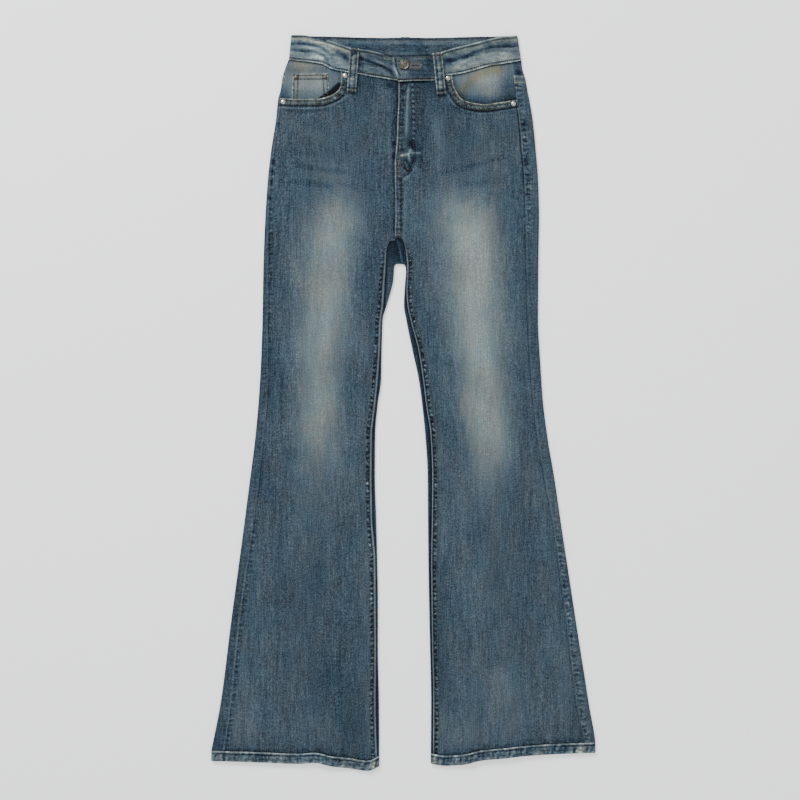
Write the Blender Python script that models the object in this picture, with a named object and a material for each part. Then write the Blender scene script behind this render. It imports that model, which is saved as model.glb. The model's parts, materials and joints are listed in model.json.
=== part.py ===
"""Bootcut jeans laid flat on a surface, front up.

X runs across the garment (the wearer's right side is at -X), Y runs up it from hem to waist and
Z is up.  The origin is the middle of the garment on the surface it lies on.  Every size and every
table below is in millimetres; the meshes are in metres.

A flat garment is two layers of cloth joined by folds.  The back panels lie underneath, turn over
the side and inner folds, and meet the front panels at seams that show on top.  Each panel is a
grid of points on the middle of its cloth, and a Solidify modifier gives the cloth its thickness.
"""

import bmesh
import bpy
import numpy as np

MM = 0.001

# Cloth
CLOTH = 1.2                       # one layer of denim
BAND = 2.4                        # the waistband's two layers
HEM_CLOTH = 2.0                   # the turned hem
LOOP_CLOTH = 1.8                  # a folded belt loop
GAP = 0.3                         # between pieces that meet
LAYER = CLOTH + GAP               # from one layer to the next that lies on it
LOOSE = 0.25                      # more than that where a panel lies loosely on a pocket
HOLLOW = 1.2                      # between the back and the front of a leg
FOLD_RADIUS = (CLOTH + HOLLOW) / 2
FOLD_INSET = CLOTH / 2 + FOLD_RADIUS

# Levels up the garment
FORK = 204.5                      # the crotch fold
FORK_SIDE = 232.0                 # where the row that meets the crotch starts at the side
SEAT = 373.0                      # where straight rows give way to the shaped top of a front
YOKE_SIDE = 470.0                 # the yoke seam at the side fold
YOKE_BACK = 441.0                 # and at the centre back
BACK_STRAIGHT = 434.0             # below this the back's rows are level
BACK_SEAM = -4.5                  # the centre back seam
BAND_LOW_BACK = 502.0             # the waistband's lower edge across the back
BACK_DIP = 3.5                    # how far its top edge dips at the centre back
HEM_LINE = -514.5                 # top of the hems, before they drop
HEM_HEIGHT = 14.5
HEM_EASE = 76.0                   # the length of leg that follows the hem's drop

# Waistband, fly and pockets
BAND_RISE = 4.2                   # middle of the front waistband above the surface
BAND_RADIUS = (BAND_RISE - BAND / 2) / 2
FLY_UNDERLAP = 12.0               # how far the right front runs under the left one
FLY_TOP, FLY_FOOT = 380.0, 360.0  # the underlap narrows to nothing between these
POCKET_REACH = 20.0               # how far a pocket bearer runs on behind the mouth
COIN_TOP, COIN_FOOT = 484.0, 436.0
COIN_LEFT, COIN_RIGHT = -163.5, -108.0
GAPE = dict(x=-112.0, y=455.0, width=15.0, height=2.2)

# Belt loops, button and rivets
LOOP_WIDTH = 13.0
LOOP_BOW = 0.8
BACK_LOOP = dict(top=539.0, foot=471.0)
BACK_LOOP_PLACES = dict(right=-100.0, centre=3.0, left=100.0)
BUTTON = dict(x=1.5, y=497.0, radius=8.0, shank=2.0, hole=2.6)
RIVET_RADIUS = 3.7
BACK_POCKET = dict(x=88.0, top=422.0, width=134.0, height=150.0, point=12.0)

SIGN = dict(right=-1, left=1)

# The side fold, and the side seam that lies inside it, down each side.
SIDE = dict(
    right=("y fold seam", [
        (505.5, -169, -166), (491, -174.5, -172), (476, -178.5, -175.5), (461.5, -180.5, -178),
        (446.5, -184.5, -181.5), (417, -187.5, -184.5), (373, -194.5, -191),
        (328.5, -199.5, -196.5), (277, -203, -199), (204.5, -206, -200), (122, -207.5, -200.5),
        (63, -209.5, -200), (4, -213, -201.5), (-55, -218.5, -207.5), (-114, -226, -213.5),
        (-202.5, -237.5, -225), (-320.5, -253.5, -241.5), (-438.5, -268.5, -254),
        (-497.5, -279.5, -262), (-515, -283, -265), (-530, -284.5, -267)]),
    left=("y fold seam", [
        (505.5, 174, 159), (491, 176, 161.5), (476, 180.5, 163.5), (461.5, 183, 165),
        (446.5, 186, 167.5), (417, 191, 172), (373, 195.5, 176), (328.5, 199, 179.5),
        (277, 200.5, 181.5), (204.5, 199.5, 182.5), (122, 199, 185.5), (63, 202, 188),
        (4, 206, 192.5), (-55, 213.5, 200), (-114, 223.5, 210), (-173, 232, 221),
        (-261.5, 245.5, 233.5), (-320.5, 254.5, 241), (-438.5, 273, 256),
        (-497.5, 281.5, 265.5), (-515, 283.5, 268.5), (-530, 284.5, 270)]),
)

# The rise seam and fly edge down the centre front.
RISE = ("y x", [
    (472, -6.5), (446.5, -6.5), (417, -8), (386, -9), (364, -11), (349, -12), (328.5, -12),
    (299, -10.5), (266.5, -11.5), (241.5, -12)])

# Where a row that starts at this level of the side meets the rise seam.
RISE_LEVELS = [(SEAT, 377.0), (347.0, 353.0), (309.0, 317.5), (271.0, 281.0), (245.0, 255.0)]

# Rows that fan round the crotch: the front panel's edge, the fold, and the way the fold faces.
FORK_ROWS = dict(
    right=[
        (FORK_SIDE, -12, 241.5, BACK_SEAM, FORK, -90), (222, -19.5, 239.5, -8.5, 204.5, -78),
        (212, -23.5, 232.5, -11.5, 203, -50), (201, -25.5, 219.5, -13, 199.5, -20),
        (190, -26.5, 203, -13.5, 191.5, 0), (178, -28, 184, -14.5, 179.5, 0)],
    left=[
        (FORK_SIDE, -12, 241.5, BACK_SEAM, FORK, -90), (222, -1, 239.5, 0, 204, -102),
        (212, 3, 228.5, 2.5, 202.5, -130), (201, 5.5, 212, 3.5, 199.5, -160),
        (190, 6.5, 196, 4, 191.5, -180), (178, 5.7, 181, 3, 179.5, -180)],
)

# The inseam and the inner fold down each leg: level, seam, fold.
INSEAM = dict(
    right=[
        (166.5, -29, -17.5), (144, -30.5, -24), (122, -33.5, -30), (78, -35.5, -31.5),
        (33.5, -38.5, -32.5), (-3.5, -42, -37.5), (-47.5, -47, -41), (-106.5, -47.5, -41.5),
        (-173, -46.5, -39.5), (-232, -42, -38), (-291, -41.5, -37), (-364.5, -41, -37),
        (-438.5, -41.5, -35.5), (-530, -39, -35)],
    left=[
        (166.5, 5, 2), (144, 6.5, 1), (122, 11, 4.5), (78, 22.5, 13.5), (33.5, 29.5, 23),
        (-3.5, 34, 28), (-47.5, 40.5, 32.5), (-106.5, 43, 36), (-173, 42.5, 36.5),
        (-232, 41.5, 37), (-291, 42, 38), (-364.5, 43, 39.5), (-438.5, 44.5, 41),
        (-530, 44, 40.5)],
)
INNER_TURN = dict(right=0, left=-180)

# How far the hem hangs below its level across each leg.
HEM_DROP = dict(
    right=("x drop", [(-282, -1.5), (-211, 0.5), (-152, 2.5), (-130, 1), (-103.5, 6.5),
                      (-78.5, 9.5), (-52, 13), (-34, 6)]),
    left=("x drop", [(41, 2.5), (62, 5.5), (87, 4), (113.5, -2), (143, -5), (187, -9.5),
                     (231.5, -12), (283, -13.5)]),
)

# The front waistband from the side fold to its end: top edge, lower edge.
BAND_EDGES = dict(
    right=("x top_x top_y low_y", [
        (-165.8, -162.3, 541, 506.5), (-152, -147.5, 540.5, 505.5), (-136, -128.5, 536.5, 503.5),
        (-119.5, -108, 532, 500.5), (-103.5, -93, 527, 492.5), (-84, -75.5, 521.5, 487.5),
        (-54.5, -49, 518, 483.5), (-28, -28, 513, 478), (-7, -10.5, 510, 475),
        (13, 10, 510, 477)]),
    left=("x top_x top_y low_y", [
        (171.3, 165.8, 540.5, 504.5), (147.5, 143, 538, 502), (126.5, 121, 533, 499),
        (100, 95.5, 526.5, 491), (78, 72, 520.5, 486), (62, 56, 516, 483),
        (45.5, 39.5, 512.5, 476), (16, 13, 510.5, 475), (-7, -15.5, 510, 473)]),
)

# Places along the front waistband, from the side fold to its end, where every piece that meets
# its lower edge has a point: the band itself, the front panel and the pocket bearer.
BAND_PLACES = dict(
    right=(-165.8, -152, -136, -119.5, -103.5, -91, -84, -71, -54.5, -41, -28, -7, 4, 13),
    left=(171.3, 159.2, 147.5, 126.5, 113, 100, 85, 71.5, 62, 54, 45.5, 38, 30, 13, 3, -7),
)
FRONT_PLACES = dict(right=(-84, -54.5, -28, -7), left=(62, 54, 45.5, 30, 13))
BEARER_PLACES = dict(right=(-152, -136, -119.5, -103.5, -91, -84, -71),
                     left=(147.5, 126.5, 113, 100, 85, 71.5, 62, 54))

# The pocket mouths, from the waistband to the side seam.
MOUTH = dict(
    right=[(-91, 487), (-91.2, 471.5), (-93.5, 462), (-99.5, 455.5), (-109.5, 450.5),
           (-122.5, 447), (-152, 446.5), (-181, 448)],
    left=[(71.5, 484), (72.5, 476), (74, 468), (79, 456.5), (87, 446.5), (100.5, 441.5),
          (120, 439), (143, 442), (167.5, 446)],
)

# Height of the soft swell of each leg, by level.
SWELL = ("y height", [(-530, 1.5), (-300, 2.6), (0, 2.8), (200, 2.2), (350, 1.6), (480, 0.4)])

# Soft folds of the upper cloth, each from one place to another.
FOLDS = ("x0 y0 x1 y1 width height", [
    (-116, -500, -122, -400, 12, 2.4), (-75, -505, -80, -440, 14, -1.2),
    (98, -505, 104, -410, 12, 2.2), (150, -500, 165, -430, 16, 1.4),
    (-105, 120, -125, -60, 26, 1.2), (120, 110, 128, -70, 26, 1.2),
    (-60, 250, -140, 285, 13, 0.9), (35, 255, 120, 300, 13, 0.9)])

# Creases of the waistband.
CREASES = ("x0 y0 x1 y1 width height", [
    (-150, 529, -132, 527.5, 5, -0.9), (-130, 526, -84, 509, 5, -1.0),
    (-150, 518, -130, 516, 5, -0.7), (-128, 515, -104, 500, 5, -0.8),
    (-50, 505, -34, 492, 5, -1.0), (152, 525, 134, 522.5, 5, -0.9),
    (130, 521, 70, 506, 5, -0.9), (152, 515, 112, 509, 5, -0.7)])
BULGE = dict(height=1.1, fade=24, right_end=-30, left_end=50)

# Pieces of the back that lie under it and lift it: their middles, half sizes and lift, and how
# far around them the lift stays whole and reaches.
POCKET_LIFT = (BACK_POCKET["width"] / 2, BACK_POCKET["height"] / 2, LAYER, 2, 14)
LOOP_LIFT = (LOOP_WIDTH / 2, 34, LOOP_CLOTH + GAP, 10, 24)
POCKET_MIDDLE = BACK_POCKET["top"] - BACK_POCKET["height"] / 2
LOOP_MIDDLE = (BACK_LOOP["top"] + BACK_LOOP["foot"]) / 2
UNDERNEATH = [(sign * BACK_POCKET["x"], POCKET_MIDDLE) + POCKET_LIFT for sign in (-1, 1)]
UNDERNEATH += [(x, LOOP_MIDDLE) + LOOP_LIFT for x in BACK_LOOP_PLACES.values()]
TOP_SPREAD = 40.0                 # the upper cloth takes up that lift over a wider reach

# Colours (red, green, blue), roughness and metallic of each finish.
FINISHES = dict(
    denim=((0.11, 0.17, 0.24), 0.9, 0.0),
    denim_pale=((0.25, 0.31, 0.35), 0.9, 0.0),
    denim_dark=((0.05, 0.09, 0.15), 0.9, 0.0),
    brass=((0.42, 0.33, 0.19), 0.45, 1.0),
    steel=((0.62, 0.60, 0.56), 0.35, 1.0),
)


def smooth(where, knots, values):
    """A cubic through the knots that never overshoots: its slopes are harmonic means."""
    where = np.clip(where, knots[0], knots[-1])
    width = np.diff(knots)
    rise = np.diff(values) / width
    product = rise[:-1] * rise[1:]
    total = np.where(product > 0, rise[:-1] + rise[1:], 1.0)
    middle = np.where(product > 0, 2 * product / total, 0.0)
    slope = np.concatenate([rise[:1], middle, rise[-1:]])
    k = np.clip(np.searchsorted(knots, where, side="right") - 1, 0, len(width) - 1)
    t = (where - knots[k]) / width[k]
    ends = values[k] * (1 + 2 * t) * (1 - t) ** 2 + values[k + 1] * (3 - 2 * t) * t ** 2
    return ends + width[k] * (slope[k] * t * (1 - t) ** 2 - slope[k + 1] * t ** 2 * (1 - t))


def ease(t):
    """0 before 0, 1 after 1, and a smooth S between."""
    t = np.clip(t, 0.0, 1.0)
    return t * t * (3 - 2 * t)


class Table:
    """Rows of sizes under named columns, read smoothly between the rows by the first column."""

    def __init__(self, columns, rows):
        values = np.array(sorted(rows), float)
        self.knots = values[:, 0]
        self.columns = {name: values[:, k] for k, name in enumerate(columns.split())}

    def at(self, name, where):
        return smooth(where, self.knots, self.columns[name])

    def rows(self):
        names = list(self.columns)
        return [dict(zip(names, row)) for row in zip(*self.columns.values())]


def inner_table(side):
    """The front's inner edge, the inner fold and the way it faces, by the level of the side."""
    rise = Table(*RISE)
    rows = [(level, float(rise.at("x", y)), y, BACK_SEAM, level, -90)
            for level, y in RISE_LEVELS]
    rows += FORK_ROWS[side]
    rows += [(y, seam, y, fold, y, INNER_TURN[side]) for y, seam, fold in INSEAM[side]]
    return Table("level edge_x edge_y fold_x fold_y turn", rows)


SIDE = {side: Table(*rows) for side, rows in SIDE.items()}
INNER = {side: inner_table(side) for side in SIGN}
BAND_EDGES = {side: Table(*rows) for side, rows in BAND_EDGES.items()}
HEM_DROP = {side: Table(*rows) for side, rows in HEM_DROP.items()}
RISE, SWELL = Table(*RISE), Table(*SWELL)
FOLDS, CREASES = Table(*FOLDS).rows(), Table(*CREASES).rows()


# --- Heights of the layers ---------------------------------------------------------------------

def lift(x, y, spread=0.0):
    """How far the pieces underneath raise the cloth over them."""
    raised = np.zeros(np.broadcast(x, y).shape)
    for place_x, place_y, half_width, half_height, height, margin, reach in UNDERNEATH:
        out_x = np.maximum(abs(x - place_x) - half_width, 0)
        out_y = np.maximum(abs(y - place_y) - half_height, 0)
        away = (np.hypot(out_x, out_y) - margin) / (reach - margin + spread)
        raised = np.maximum(raised, height * (1 - ease(away)))
    return raised


def ridge(x, y, fold):
    """One soft fold: a rounded ridge or trough along a straight line, fading past its ends."""
    along_x, along_y = fold["x1"] - fold["x0"], fold["y1"] - fold["y0"]
    length = along_x ** 2 + along_y ** 2
    t = np.clip(((x - fold["x0"]) * along_x + (y - fold["y0"]) * along_y) / length, 0, 1)
    away = np.hypot(x - fold["x0"] - t * along_x, y - fold["y0"] - t * along_y)
    return fold["height"] * np.exp(-(away / fold["width"]) ** 2)


def swell(x, y):
    """The soft swell of the two legs, which dies out at every fold."""
    raised = 0.0
    for side in SIGN:
        inner = INNER[side].columns
        order = np.argsort(inner["fold_y"], kind="stable")
        near = np.interp(y, inner["fold_y"][order], inner["fold_x"][order])
        far = SIDE[side].at("fold", y)
        across = np.clip((2 * x - near - far) / (near - far), -1, 1)
        raised = raised + SWELL.at("height", y) * (1 - across ** 2) ** 2
    return raised


def bottom_height(x, y):
    """Middle of the lower layer of cloth."""
    return CLOTH / 2 + lift(x, y)


def top_height(x, y):
    """Middle of the upper layer of cloth."""
    level = CLOTH / 2 + CLOTH + HOLLOW
    return level + lift(x, y, TOP_SPREAD) + swell(x, y) + sum(ridge(x, y, f) for f in FOLDS)


def band_height(x, y):
    """Middle of the front waistband: it bulges between the sides and the fly, and is creased."""
    fade = BULGE["fade"]
    left = np.minimum(SIDE["left"].at("fold", y) - 4 - x, x - BULGE["left_end"])
    right = np.minimum(x - SIDE["right"].at("fold", y) - 4, BULGE["right_end"] - x)
    raised = BULGE["height"] * ease(np.maximum(left, right) / fade)
    creases = sum(ridge(x, y, crease) for crease in CREASES)
    return BAND_RISE + lift(x, y, TOP_SPREAD) + raised + creases


def overlap_lift(x):
    """The raised end of the waistband, which lies on the other end and carries the button."""
    return (BAND + 1.5 * GAP) * (1 - ease((x - 22) / 26))


def trace(points, t):
    """The smooth line through some points, by its share of the length, as x and y."""
    points = np.array(points, float)
    reach = np.concatenate([[0], np.cumsum(np.hypot(*np.diff(points, axis=0).T))])
    reach /= reach[-1]
    return smooth(t, reach, points[:, 0]), smooth(t, reach, points[:, 1])


def from_mouth(side, x, y):
    """Distance from the edge of a pocket mouth."""
    mouth_x, mouth_y = trace(MOUTH[side], np.linspace(0, 1, 60))
    return np.hypot(x[..., None] - mouth_x, y[..., None] - mouth_y).min(axis=-1)


def front_height(side, x, y):
    """Middle of a front panel: it rises over the pocket pieces and over the fly's underlap."""
    height = top_height(x, y)
    height += (LAYER + LOOSE) * (1 - ease((from_mouth(side, x, y) - POCKET_REACH - 8) / 30))
    if side == "right":
        out_x = np.maximum(abs(x - (COIN_LEFT + COIN_RIGHT) / 2) - (COIN_RIGHT - COIN_LEFT) / 2, 0)
        out_y = np.maximum(COIN_FOOT - y, 0)
        height += LAYER * (1 - ease((np.hypot(out_x, out_y) - 10) / 20))
        away = np.hypot(x - GAPE["x"], y - GAPE["y"])
        return height + GAPE["height"] * np.exp(-(away / GAPE["width"]) ** 2)
    fly = (1 - ease((x - RISE.at("x", y) - 18) / 24)) * (1 - ease((FLY_FOOT - 3 - y) / 18))
    return height + fly * (LAYER + 0.9 * ease((y - 440) / 25))


# --- Middle surfaces of the pieces -------------------------------------------------------------

def between(a, b, t):
    return a + (b - a) * t


def stack(*parts):
    """Joins blocks of (x, y, z), each spread to full rows, side by side into one grid."""
    blocks = []
    for x, y, z in parts:
        blocks.append(np.stack(np.broadcast_arrays(x, y, z), axis=-1))
    return np.concatenate(blocks, axis=1)


def half_turn(x, y, out_x, out_y, high, low, radius, turn):
    """A fold: half a turn from the upper layer to the lower, outwards from its centre line."""
    reach = radius * np.sin(turn)
    return (x + out_x * reach, y + out_y * reach,
            (high + low) / 2 + (high - low) / 2 * np.cos(turn))


def coons(top, low, near, far):
    """A sheet stretched between four boundary lines: two across and two down its sides."""
    u = np.linspace(0, 1, len(top))[None, :, None]
    v = np.linspace(0, 1, len(near))[:, None, None]
    across = between(top[None], low[None], v)
    down = between(near[:, None], far[:, None], u)
    corners = between(between(top[0], top[-1], u), between(low[0], low[-1], u), v)
    return across + down - corners


def follow_hem(side, x, y):
    """The lower leg and the hem take up the hem's drop."""
    return y - HEM_DROP[side].at("drop", x) * ease((HEM_LINE + HEM_EASE - y) / HEM_EASE)


def front_panel(side, mouth_columns, rows, levels):
    """A front panel, from the pocket mouth and the waistband down to the hem."""
    sign = SIGN[side]
    seam = SIDE[side]
    mouth = np.stack(trace(MOUTH[side], np.linspace(1, 0, mouth_columns + 1)), axis=1)
    end = RISE.at("x", 472.0) + (FLY_UNDERLAP if side == "right" else GAP / 2)
    waist_x = np.append(FRONT_PLACES[side], end)
    columns = mouth_columns + len(waist_x)
    mouth[0, 0] = seam.at("seam", mouth[0, 1]) - sign * GAP / 2
    mouth[-1, 1] = BAND_EDGES[side].at("low_y", mouth[-1, 0]) - 1.5 * GAP
    waist = np.stack([waist_x, BAND_EDGES[side].at("low_y", waist_x) - 1.5 * GAP], axis=1)
    top = np.concatenate([mouth, waist])

    u = np.linspace(0, 1, columns + 1)[None, :]
    level = np.array(levels)[:, None]
    edge_x, edge_y = front_edge(side, level)
    leg_x = between(seam.at("seam", level) - sign * GAP / 2, edge_x, u)
    leg_y = between(level, edge_y, u)
    leg = np.stack([leg_x, leg_y], axis=-1)

    v = np.array(rows)
    near_y = between(top[0, 1], leg[0, 0, 1], v)
    near = np.stack([seam.at("seam", near_y) - sign * GAP / 2, near_y], axis=1)
    far_y = between(top[-1, 1], leg[0, -1, 1], v)
    under = FLY_UNDERLAP * ease((far_y - FLY_FOOT) / (FLY_TOP - FLY_FOOT))
    far_x = RISE.at("x", far_y) + (under - GAP / 2 * (under < GAP) if side == "right" else GAP / 2)
    far = np.stack([far_x, far_y], axis=1)
    across = between(top[None], leg[0][None], v[:, None, None])
    down = between(near[:, None], far[:, None], u[..., None])
    straight = between(between(top[0], top[-1], u[..., None]),
                       between(leg[0, 0], leg[0, -1], u[..., None]), v[:, None, None])
    flat = np.concatenate([(across + down - straight)[:-1], leg])
    x, y = flat[..., 0], flat[..., 1]
    height = front_height(side, x, y)
    return np.stack([x, follow_hem(side, x, y), height], axis=-1)


def front_edge(side, level):
    """The front panel's inner edge: half a gap inside the rise seam or the inseam."""
    inner = INNER[side]
    edge_x, edge_y = inner.at("edge_x", level), inner.at("edge_y", level)
    to_fold_x = inner.at("fold_x", level) - edge_x
    to_fold_y = inner.at("fold_y", level) - edge_y
    reach = np.hypot(to_fold_x, to_fold_y)
    seam_side = np.where(level > FORK_SIDE, 0.0, 1.0)
    away_x = SIGN[side] - seam_side * to_fold_x / reach
    away_y = -seam_side * to_fold_y / reach
    size = np.hypot(away_x, away_y)
    return edge_x + GAP / 2 * away_x / size, edge_y + GAP / 2 * away_y / size


def back_panel(side, levels, strip, turns, floor_x):
    """A back panel: from the side seam over the side fold, underneath, and round the inner fold.

    Above the crotch a row ends at the centre back seam, so its last columns are left empty.
    """
    sign = SIGN[side]
    level = np.array(levels)[:, None]
    t = np.linspace(0, 1, strip + 1)[None, :]
    turn = np.linspace(0, np.pi, turns + 1)[None, 1:-1]
    side_x = SIDE[side].at("fold", level) - sign * FOLD_INSET
    high, low = top_height(side_x, level), bottom_height(side_x, level)
    seam_x = between(SIDE[side].at("seam", level) + sign * GAP / 2, side_x, t)
    seam_strip = (seam_x, level, top_height(seam_x, level))
    side_turn = half_turn(side_x, level, sign, 0, high, low, FOLD_RADIUS, turn)

    inner = INNER[side]
    facing = np.radians(inner.at("turn", level))
    out_x, out_y = np.cos(facing), np.sin(facing)
    shift = sign * GAP / 2 * (1 - ease((FORK_SIDE - level) / 10))
    in_x = inner.at("fold_x", level) - out_x * FOLD_INSET + shift
    in_y = inner.at("fold_y", level) - out_y * FOLD_INSET
    seat = level > FORK_SIDE
    in_x = np.where(seat, BACK_SEAM + sign * GAP / 2, in_x)
    straight = np.interp(level, [BACK_STRAIGHT, YOKE_SIDE], [BACK_STRAIGHT, YOKE_BACK - GAP / 2])
    in_y = np.where(seat, np.where(level > BACK_STRAIGHT, straight, level), in_y)

    share = (sign * np.array(floor_x)[None, :] - side_x) / (in_x - side_x)
    share = np.concatenate([np.zeros_like(level), share, np.ones_like(level)], axis=1)
    crotch_row = int(np.argmin(abs(level - FORK_SIDE)))
    share = np.where(level < FORK_SIDE, share[crotch_row], share)
    floor_at_x, floor_at_y = between(side_x, in_x, share), between(level, in_y, share)
    floor = (floor_at_x, floor_at_y, bottom_height(floor_at_x, floor_at_y))

    high, low = top_height(in_x, in_y), bottom_height(in_x, in_y)
    x, y, z = half_turn(in_x, in_y, out_x, out_y, high, low, FOLD_RADIUS, turn[:, ::-1])
    inner_turn = (np.where(seat, np.nan, x), y, z)
    edge_x, edge_y = inner.at("edge_x", level), inner.at("edge_y", level)
    reach = np.hypot(in_x - edge_x, in_y - edge_y)
    edge_x = edge_x + GAP / 2 * (in_x - edge_x) / reach + shift
    edge_y = edge_y + GAP / 2 * (in_y - edge_y) / reach
    strip_x, strip_y = between(in_x, edge_x, t), between(in_y, edge_y, t)
    inseam_strip = (np.where(seat, np.nan, strip_x), strip_y, top_height(strip_x, strip_y))
    grid = stack(seam_strip, side_turn, floor, inner_turn, inseam_strip)
    grid[..., 1] = follow_hem(side, grid[..., 0], grid[..., 1])
    return grid


def back_edge(x, y):
    """The waistband's lower edge across the back, which dips from y at the sides."""
    return y - (y - BAND_LOW_BACK) * (1 - np.clip(abs(x) / 165, 0, 1) ** 2)


def yoke(side, rows, strip, turns, floor_x):
    """A back yoke, from the waistband to the yoke seam; it too turns over the side fold."""
    sign = SIGN[side]
    v = np.linspace(0, 1, rows + 1)[:, None]
    at_side = BAND_EDGES[side].at("low_y", sign * 1000)
    level = between(at_side - 1.5 * GAP, YOKE_SIDE + GAP / 2, v)
    t = np.linspace(0, 1, strip + 1)[None, :]
    turn = np.linspace(0, np.pi, turns + 1)[None, 1:-1]
    side_x = SIDE[side].at("fold", level) - sign * FOLD_INSET
    high, low = top_height(side_x, level), bottom_height(side_x, level)
    seam_x = between(SIDE[side].at("seam", level) + sign * GAP / 2, side_x, t)
    seam_y = level - between(BAND_EDGES[side].at("low_y", side_x) -
                             BAND_EDGES[side].at("low_y", seam_x), 0, v)
    seam_strip = (seam_x, seam_y, top_height(seam_x, seam_y))
    side_turn = half_turn(side_x, level, sign, 0, high, low, FOLD_RADIUS, turn)
    in_x = BACK_SEAM + sign * GAP / 2
    share = (sign * np.array(floor_x)[None, :] - side_x) / (in_x - side_x)
    share = np.concatenate([np.zeros_like(level), share, np.ones_like(level)], axis=1)
    x = between(side_x, in_x, share)
    yoke_seam = between(YOKE_SIDE, YOKE_BACK, share) + GAP / 2
    y = between(back_edge(x, at_side) - 1.5 * GAP, yoke_seam, v)
    return stack(seam_strip, side_turn, (x, y, bottom_height(x, y)))


def band_front(side, rows, raised):
    """The front waistband of one side, a column across it for each place along it."""
    table = BAND_EDGES[side]
    x = np.array(BAND_PLACES[side][::-1])[:, None]
    v = np.linspace(0, 1, rows + 1)[None, :]
    at_x = between(table.at("top_x", x), x, v)
    at_y = between(table.at("top_y", x), table.at("low_y", x), v)
    return np.stack([at_x, at_y, band_height(at_x, at_y) + raised(at_x)], axis=-1)


def waistband(rows, turns, back_x):
    """The whole waistband: the left front, round the back, and the right front, as one strip."""
    v = np.linspace(0, 1, rows + 1)[None, :]
    turn = np.linspace(0, np.pi, turns + 1)[1:-1, None]
    left = band_front("left", rows, overlap_lift)
    right = band_front("right", rows, np.zeros_like)[::-1]

    def side_turn(edge, sign):
        x, y, high = edge[None, :, 0], edge[None, :, 1], edge[None, :, 2]
        low = BAND / 2 + lift(x, y)
        points = half_turn(x, y, sign, 0, high, low, BAND_RADIUS, turn)
        return np.stack(np.broadcast_arrays(*points), axis=-1)

    ends = left[-1], right[0]
    x = np.array(back_x)[:, None]
    share = (x - ends[0][None, :, 0]) / (ends[1][None, :, 0] - ends[0][None, :, 0])
    x = between(ends[0][None, :, 0], ends[1][None, :, 0], np.clip(share, 0, 1))
    y = between(ends[0][None, :, 1], ends[1][None, :, 1], share)
    dip = BACK_DIP * (1 - np.clip(abs(x) / 165, 0, 1) ** 2)
    y = between(y - dip, back_edge(x, y), v)
    back = np.stack([x, y, BAND / 2 + lift(x, y)], axis=-1)
    for row, end in ((0, ends[0]), (-1, ends[1])):
        back[row] = np.stack([end[:, 0], end[:, 1], BAND / 2 + lift(end[:, 0], end[:, 1])], axis=-1)
    turn_left, turn_right = side_turn(ends[0], 1), side_turn(ends[1], -1)
    return np.concatenate([left, turn_left, back, turn_right[::-1], right])


def hem(front, back, rows):
    """A turned hem: one closed band round the bottom of a leg, point for point with the panels."""
    top = np.concatenate([back[-1], front[-1, -2:0:-1]])
    middle = (top[:, 0].max() + top[:, 0].min()) / 2
    half = top[:, 0].max() - middle
    extra = (HEM_CLOTH - CLOTH) / 2
    x = middle + (top[:, 0] - middle) * (half - extra) / half
    down = np.linspace(2.5 * GAP, HEM_HEIGHT, rows + 1)[:, None]
    return stack((x[None], top[None, :, 1] - down, top[None, :, 2] + extra))


def pocket_bearer(side, rows):
    """The denim behind a pocket mouth, which runs on under the front panel."""
    sign = SIGN[side]
    mouth = np.stack(trace(MOUTH[side], np.linspace(0, 1, 41)), axis=1)
    along = np.gradient(mouth, axis=0)
    along /= np.hypot(*along.T)[:, None]
    beyond = mouth + POCKET_REACH * sign * np.stack([along[:, 1], -along[:, 0]], axis=1)
    split = 12
    columns = len(BEARER_PLACES[side])
    beyond[0] = BEARER_PLACES[side][-1], BAND_EDGES[side].at("low_y", BEARER_PLACES[side][-1])
    near_y = np.linspace(BAND_EDGES[side].at("low_y", SIDE[side].at("seam", 503)) - 2 * GAP,
                         beyond[-1, 1], rows + 1)
    near = np.stack([SIDE[side].at("seam", near_y) - sign * GAP / 2, near_y], axis=1)
    top_x = np.append(near[0, 0], BEARER_PLACES[side])
    top = np.stack([top_x, BAND_EDGES[side].at("low_y", top_x) - 2 * GAP], axis=1)
    far = np.stack(trace(beyond[:split + 1], np.linspace(0, 1, rows + 1)), axis=1)
    low = np.stack(trace(beyond[split:], np.linspace(1, 0, columns + 1)), axis=1)
    far[0], low[0], low[-1] = top[-1], near[-1], far[-1]
    flat = coons(top, low, near, far)
    return np.dstack([flat, top_height(flat[..., 0], flat[..., 1])])


def coin_pocket(columns, rows):
    """The small pocket on the right bearer; its foot is behind the front panel."""
    x = np.linspace(COIN_LEFT, COIN_RIGHT, columns + 1)[None, :]
    y = np.linspace(COIN_TOP, COIN_FOOT, rows + 1)[:, None]
    return stack((x, y, top_height(x, y) + LAYER))


def back_pocket(side, columns, rows):
    """A plain patch pocket with a pointed foot, flat under the back panel."""
    u = np.linspace(-1, 1, columns + 1)[None, :]
    v = np.linspace(0, 1, rows + 1)[:, None]
    width, height, point = (BACK_POCKET[key] for key in ("width", "height", "point"))
    x = SIGN[side] * BACK_POCKET["x"] + u * width / 2 * (1 - 0.1 * v)
    y = BACK_POCKET["top"] - v * (height - point * abs(u))
    return stack((x, y, CLOTH / 2))


def back_loop(place, columns, rows):
    """A belt loop of the back, flat under the waistband and the yoke."""
    x = BACK_LOOP_PLACES[place] + LOOP_WIDTH / 2 * np.linspace(-1, 1, columns + 1)[None, :]
    y = np.linspace(BACK_LOOP["top"], BACK_LOOP["foot"], rows + 1)[:, None]
    return stack((x, y, LOOP_CLOTH / 2))


FRONT_LOOPS = dict(right=((-71.5, 521.0), (-76.0, 456.5)), left=((50.5, 514.5), (56.5, 452.5)))


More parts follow.
